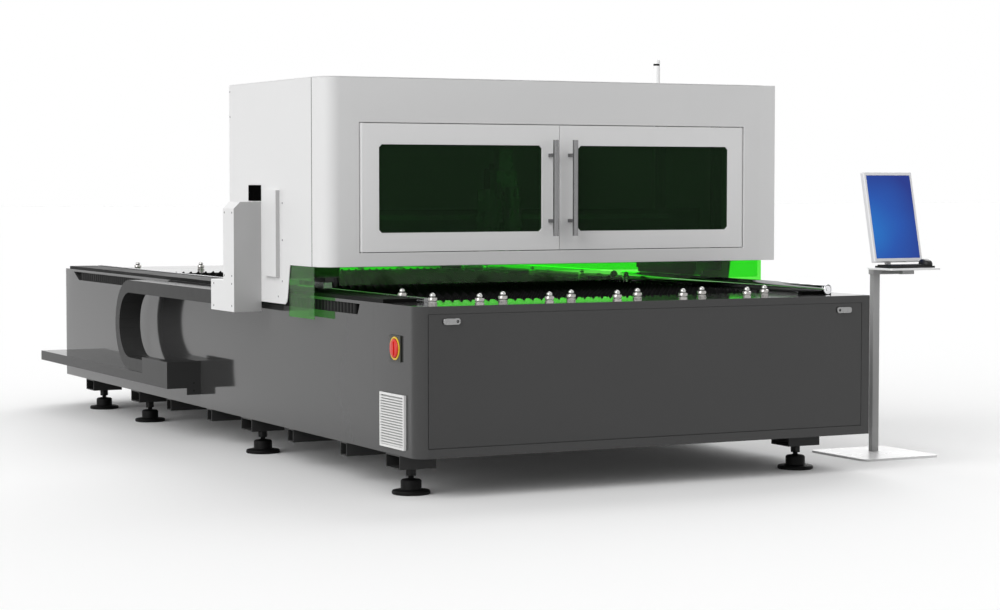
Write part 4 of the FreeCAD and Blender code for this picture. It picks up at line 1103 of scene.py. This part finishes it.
def makeMouse(look):
    mesh = bmesh.new()
    last, sides = look["rings"], look["sides"]
    halfX, halfY, halfZ = look["half"]
    rings = []
    for k in range(last + 1):
        rise = k / last * math.pi / 2
        shrink, height = math.cos(rise) ** look["slope"] if k < last else 0, math.sin(rise)
        ring = []
        for i in range(sides if k < last else 1):
            turn = 2 * math.pi * i / sides
            a, b = math.cos(turn), math.sin(turn)
            wide = abs(a) ** look["square"] * math.copysign(1, a)
            lift = height * (1 - look["drop"] * max(0, -b) * height)  # lower towards its front
            ring.append(mesh.verts.new(at(look["x"] + halfX * wide * shrink,
                                          look["y"] + halfY * b * shrink,
                                          deskTop + look["lift"] + halfZ * lift)))
        rings.append(ring)
    joinRings(mesh, rings)
    addFace(mesh, rings[0][::-1])
    makePiece("deskMouse", mesh, ["blackPlastic"], "bed", ["mouse"], smooth=60)


makeKeyboard(keyboardLook)
makeMouse(mouseLook)
print("rollers, switch and desk pieces made")


# Floor, backdrop and light
stageLook = {
    "reach": 120, "floorTone": 0.5, "floorSeen": 0.96, "floorLift": 0.02, "sky": 0.5,
    "lamps": {
        "softKey": {"from": (-0.80, -0.30, 0.52), "strength": 1.7, "soft": 50},
        "softBack": {"from": (0.47, 0.65, 0.60), "strength": 1.27, "soft": 44},
    },
}


def makeFloor(look):
    mesh = bmesh.new()
    reach = look["reach"]
    corners = ((-reach, -reach), (reach, -reach), (reach, reach), (-reach, reach))
    mesh.faces.new([mesh.verts.new((x, y, 0)) for x, y in corners])
    data = bpy.data.meshes.new("floor")
    mesh.to_mesh(data)
    mesh.free()
    floor = bpy.data.objects.new("floor", data)
    scene.collection.objects.link(floor)
    material = bpy.data.materials.new("floorPaper")
    material.use_nodes = True
    tree = material.node_tree
    tree.nodes.clear()
    seen = anyRay(tree, "Camera", "Glossy")
    pale = addRange(tree, seen, look["floorTone"], look["floorSeen"], 0.0, 1.0)
    shade = addNode(tree, "BsdfDiffuse", {"Color": pale})
    lift = addNode(tree, "Emission", {"Strength": addMath(tree, "MULTIPLY", seen, look["floorLift"])})
    total = addNode(tree, "AddShader", {0: shade.outputs["BSDF"], 1: lift.outputs["Emission"]})
    addNode(tree, "OutputMaterial", {"Surface": total.outputs["Shader"]})
    data.materials.append(material)


def makeSky(look):
    world = bpy.data.worlds.new("studio")
    scene.world = world
    world.use_nodes = True
    tree = world.node_tree
    seen = anyRay(tree, "Camera", "Glossy", "Transmission")
    level = addRange(tree, seen, look["sky"], 1.0, 0.0, 1.0)
    setInputs(tree, tree.nodes["Background"], {"Color": (1, 1, 1, 1), "Strength": level})


def makeLamps(look):
    for name, part in look["lamps"].items():
        lamp = bpy.data.lights.new(name, "SUN")
        lamp.energy = part["strength"]
        lamp.angle = math.radians(part["soft"])
        light = bpy.data.objects.new(name, lamp)
        light.rotation_euler = Vector(part["from"]).to_track_quat("Z", "Y").to_euler()
        scene.collection.objects.link(light)


makeFloor(stageLook)
makeSky(stageLook)
makeLamps(stageLook)
print("stage and light set")
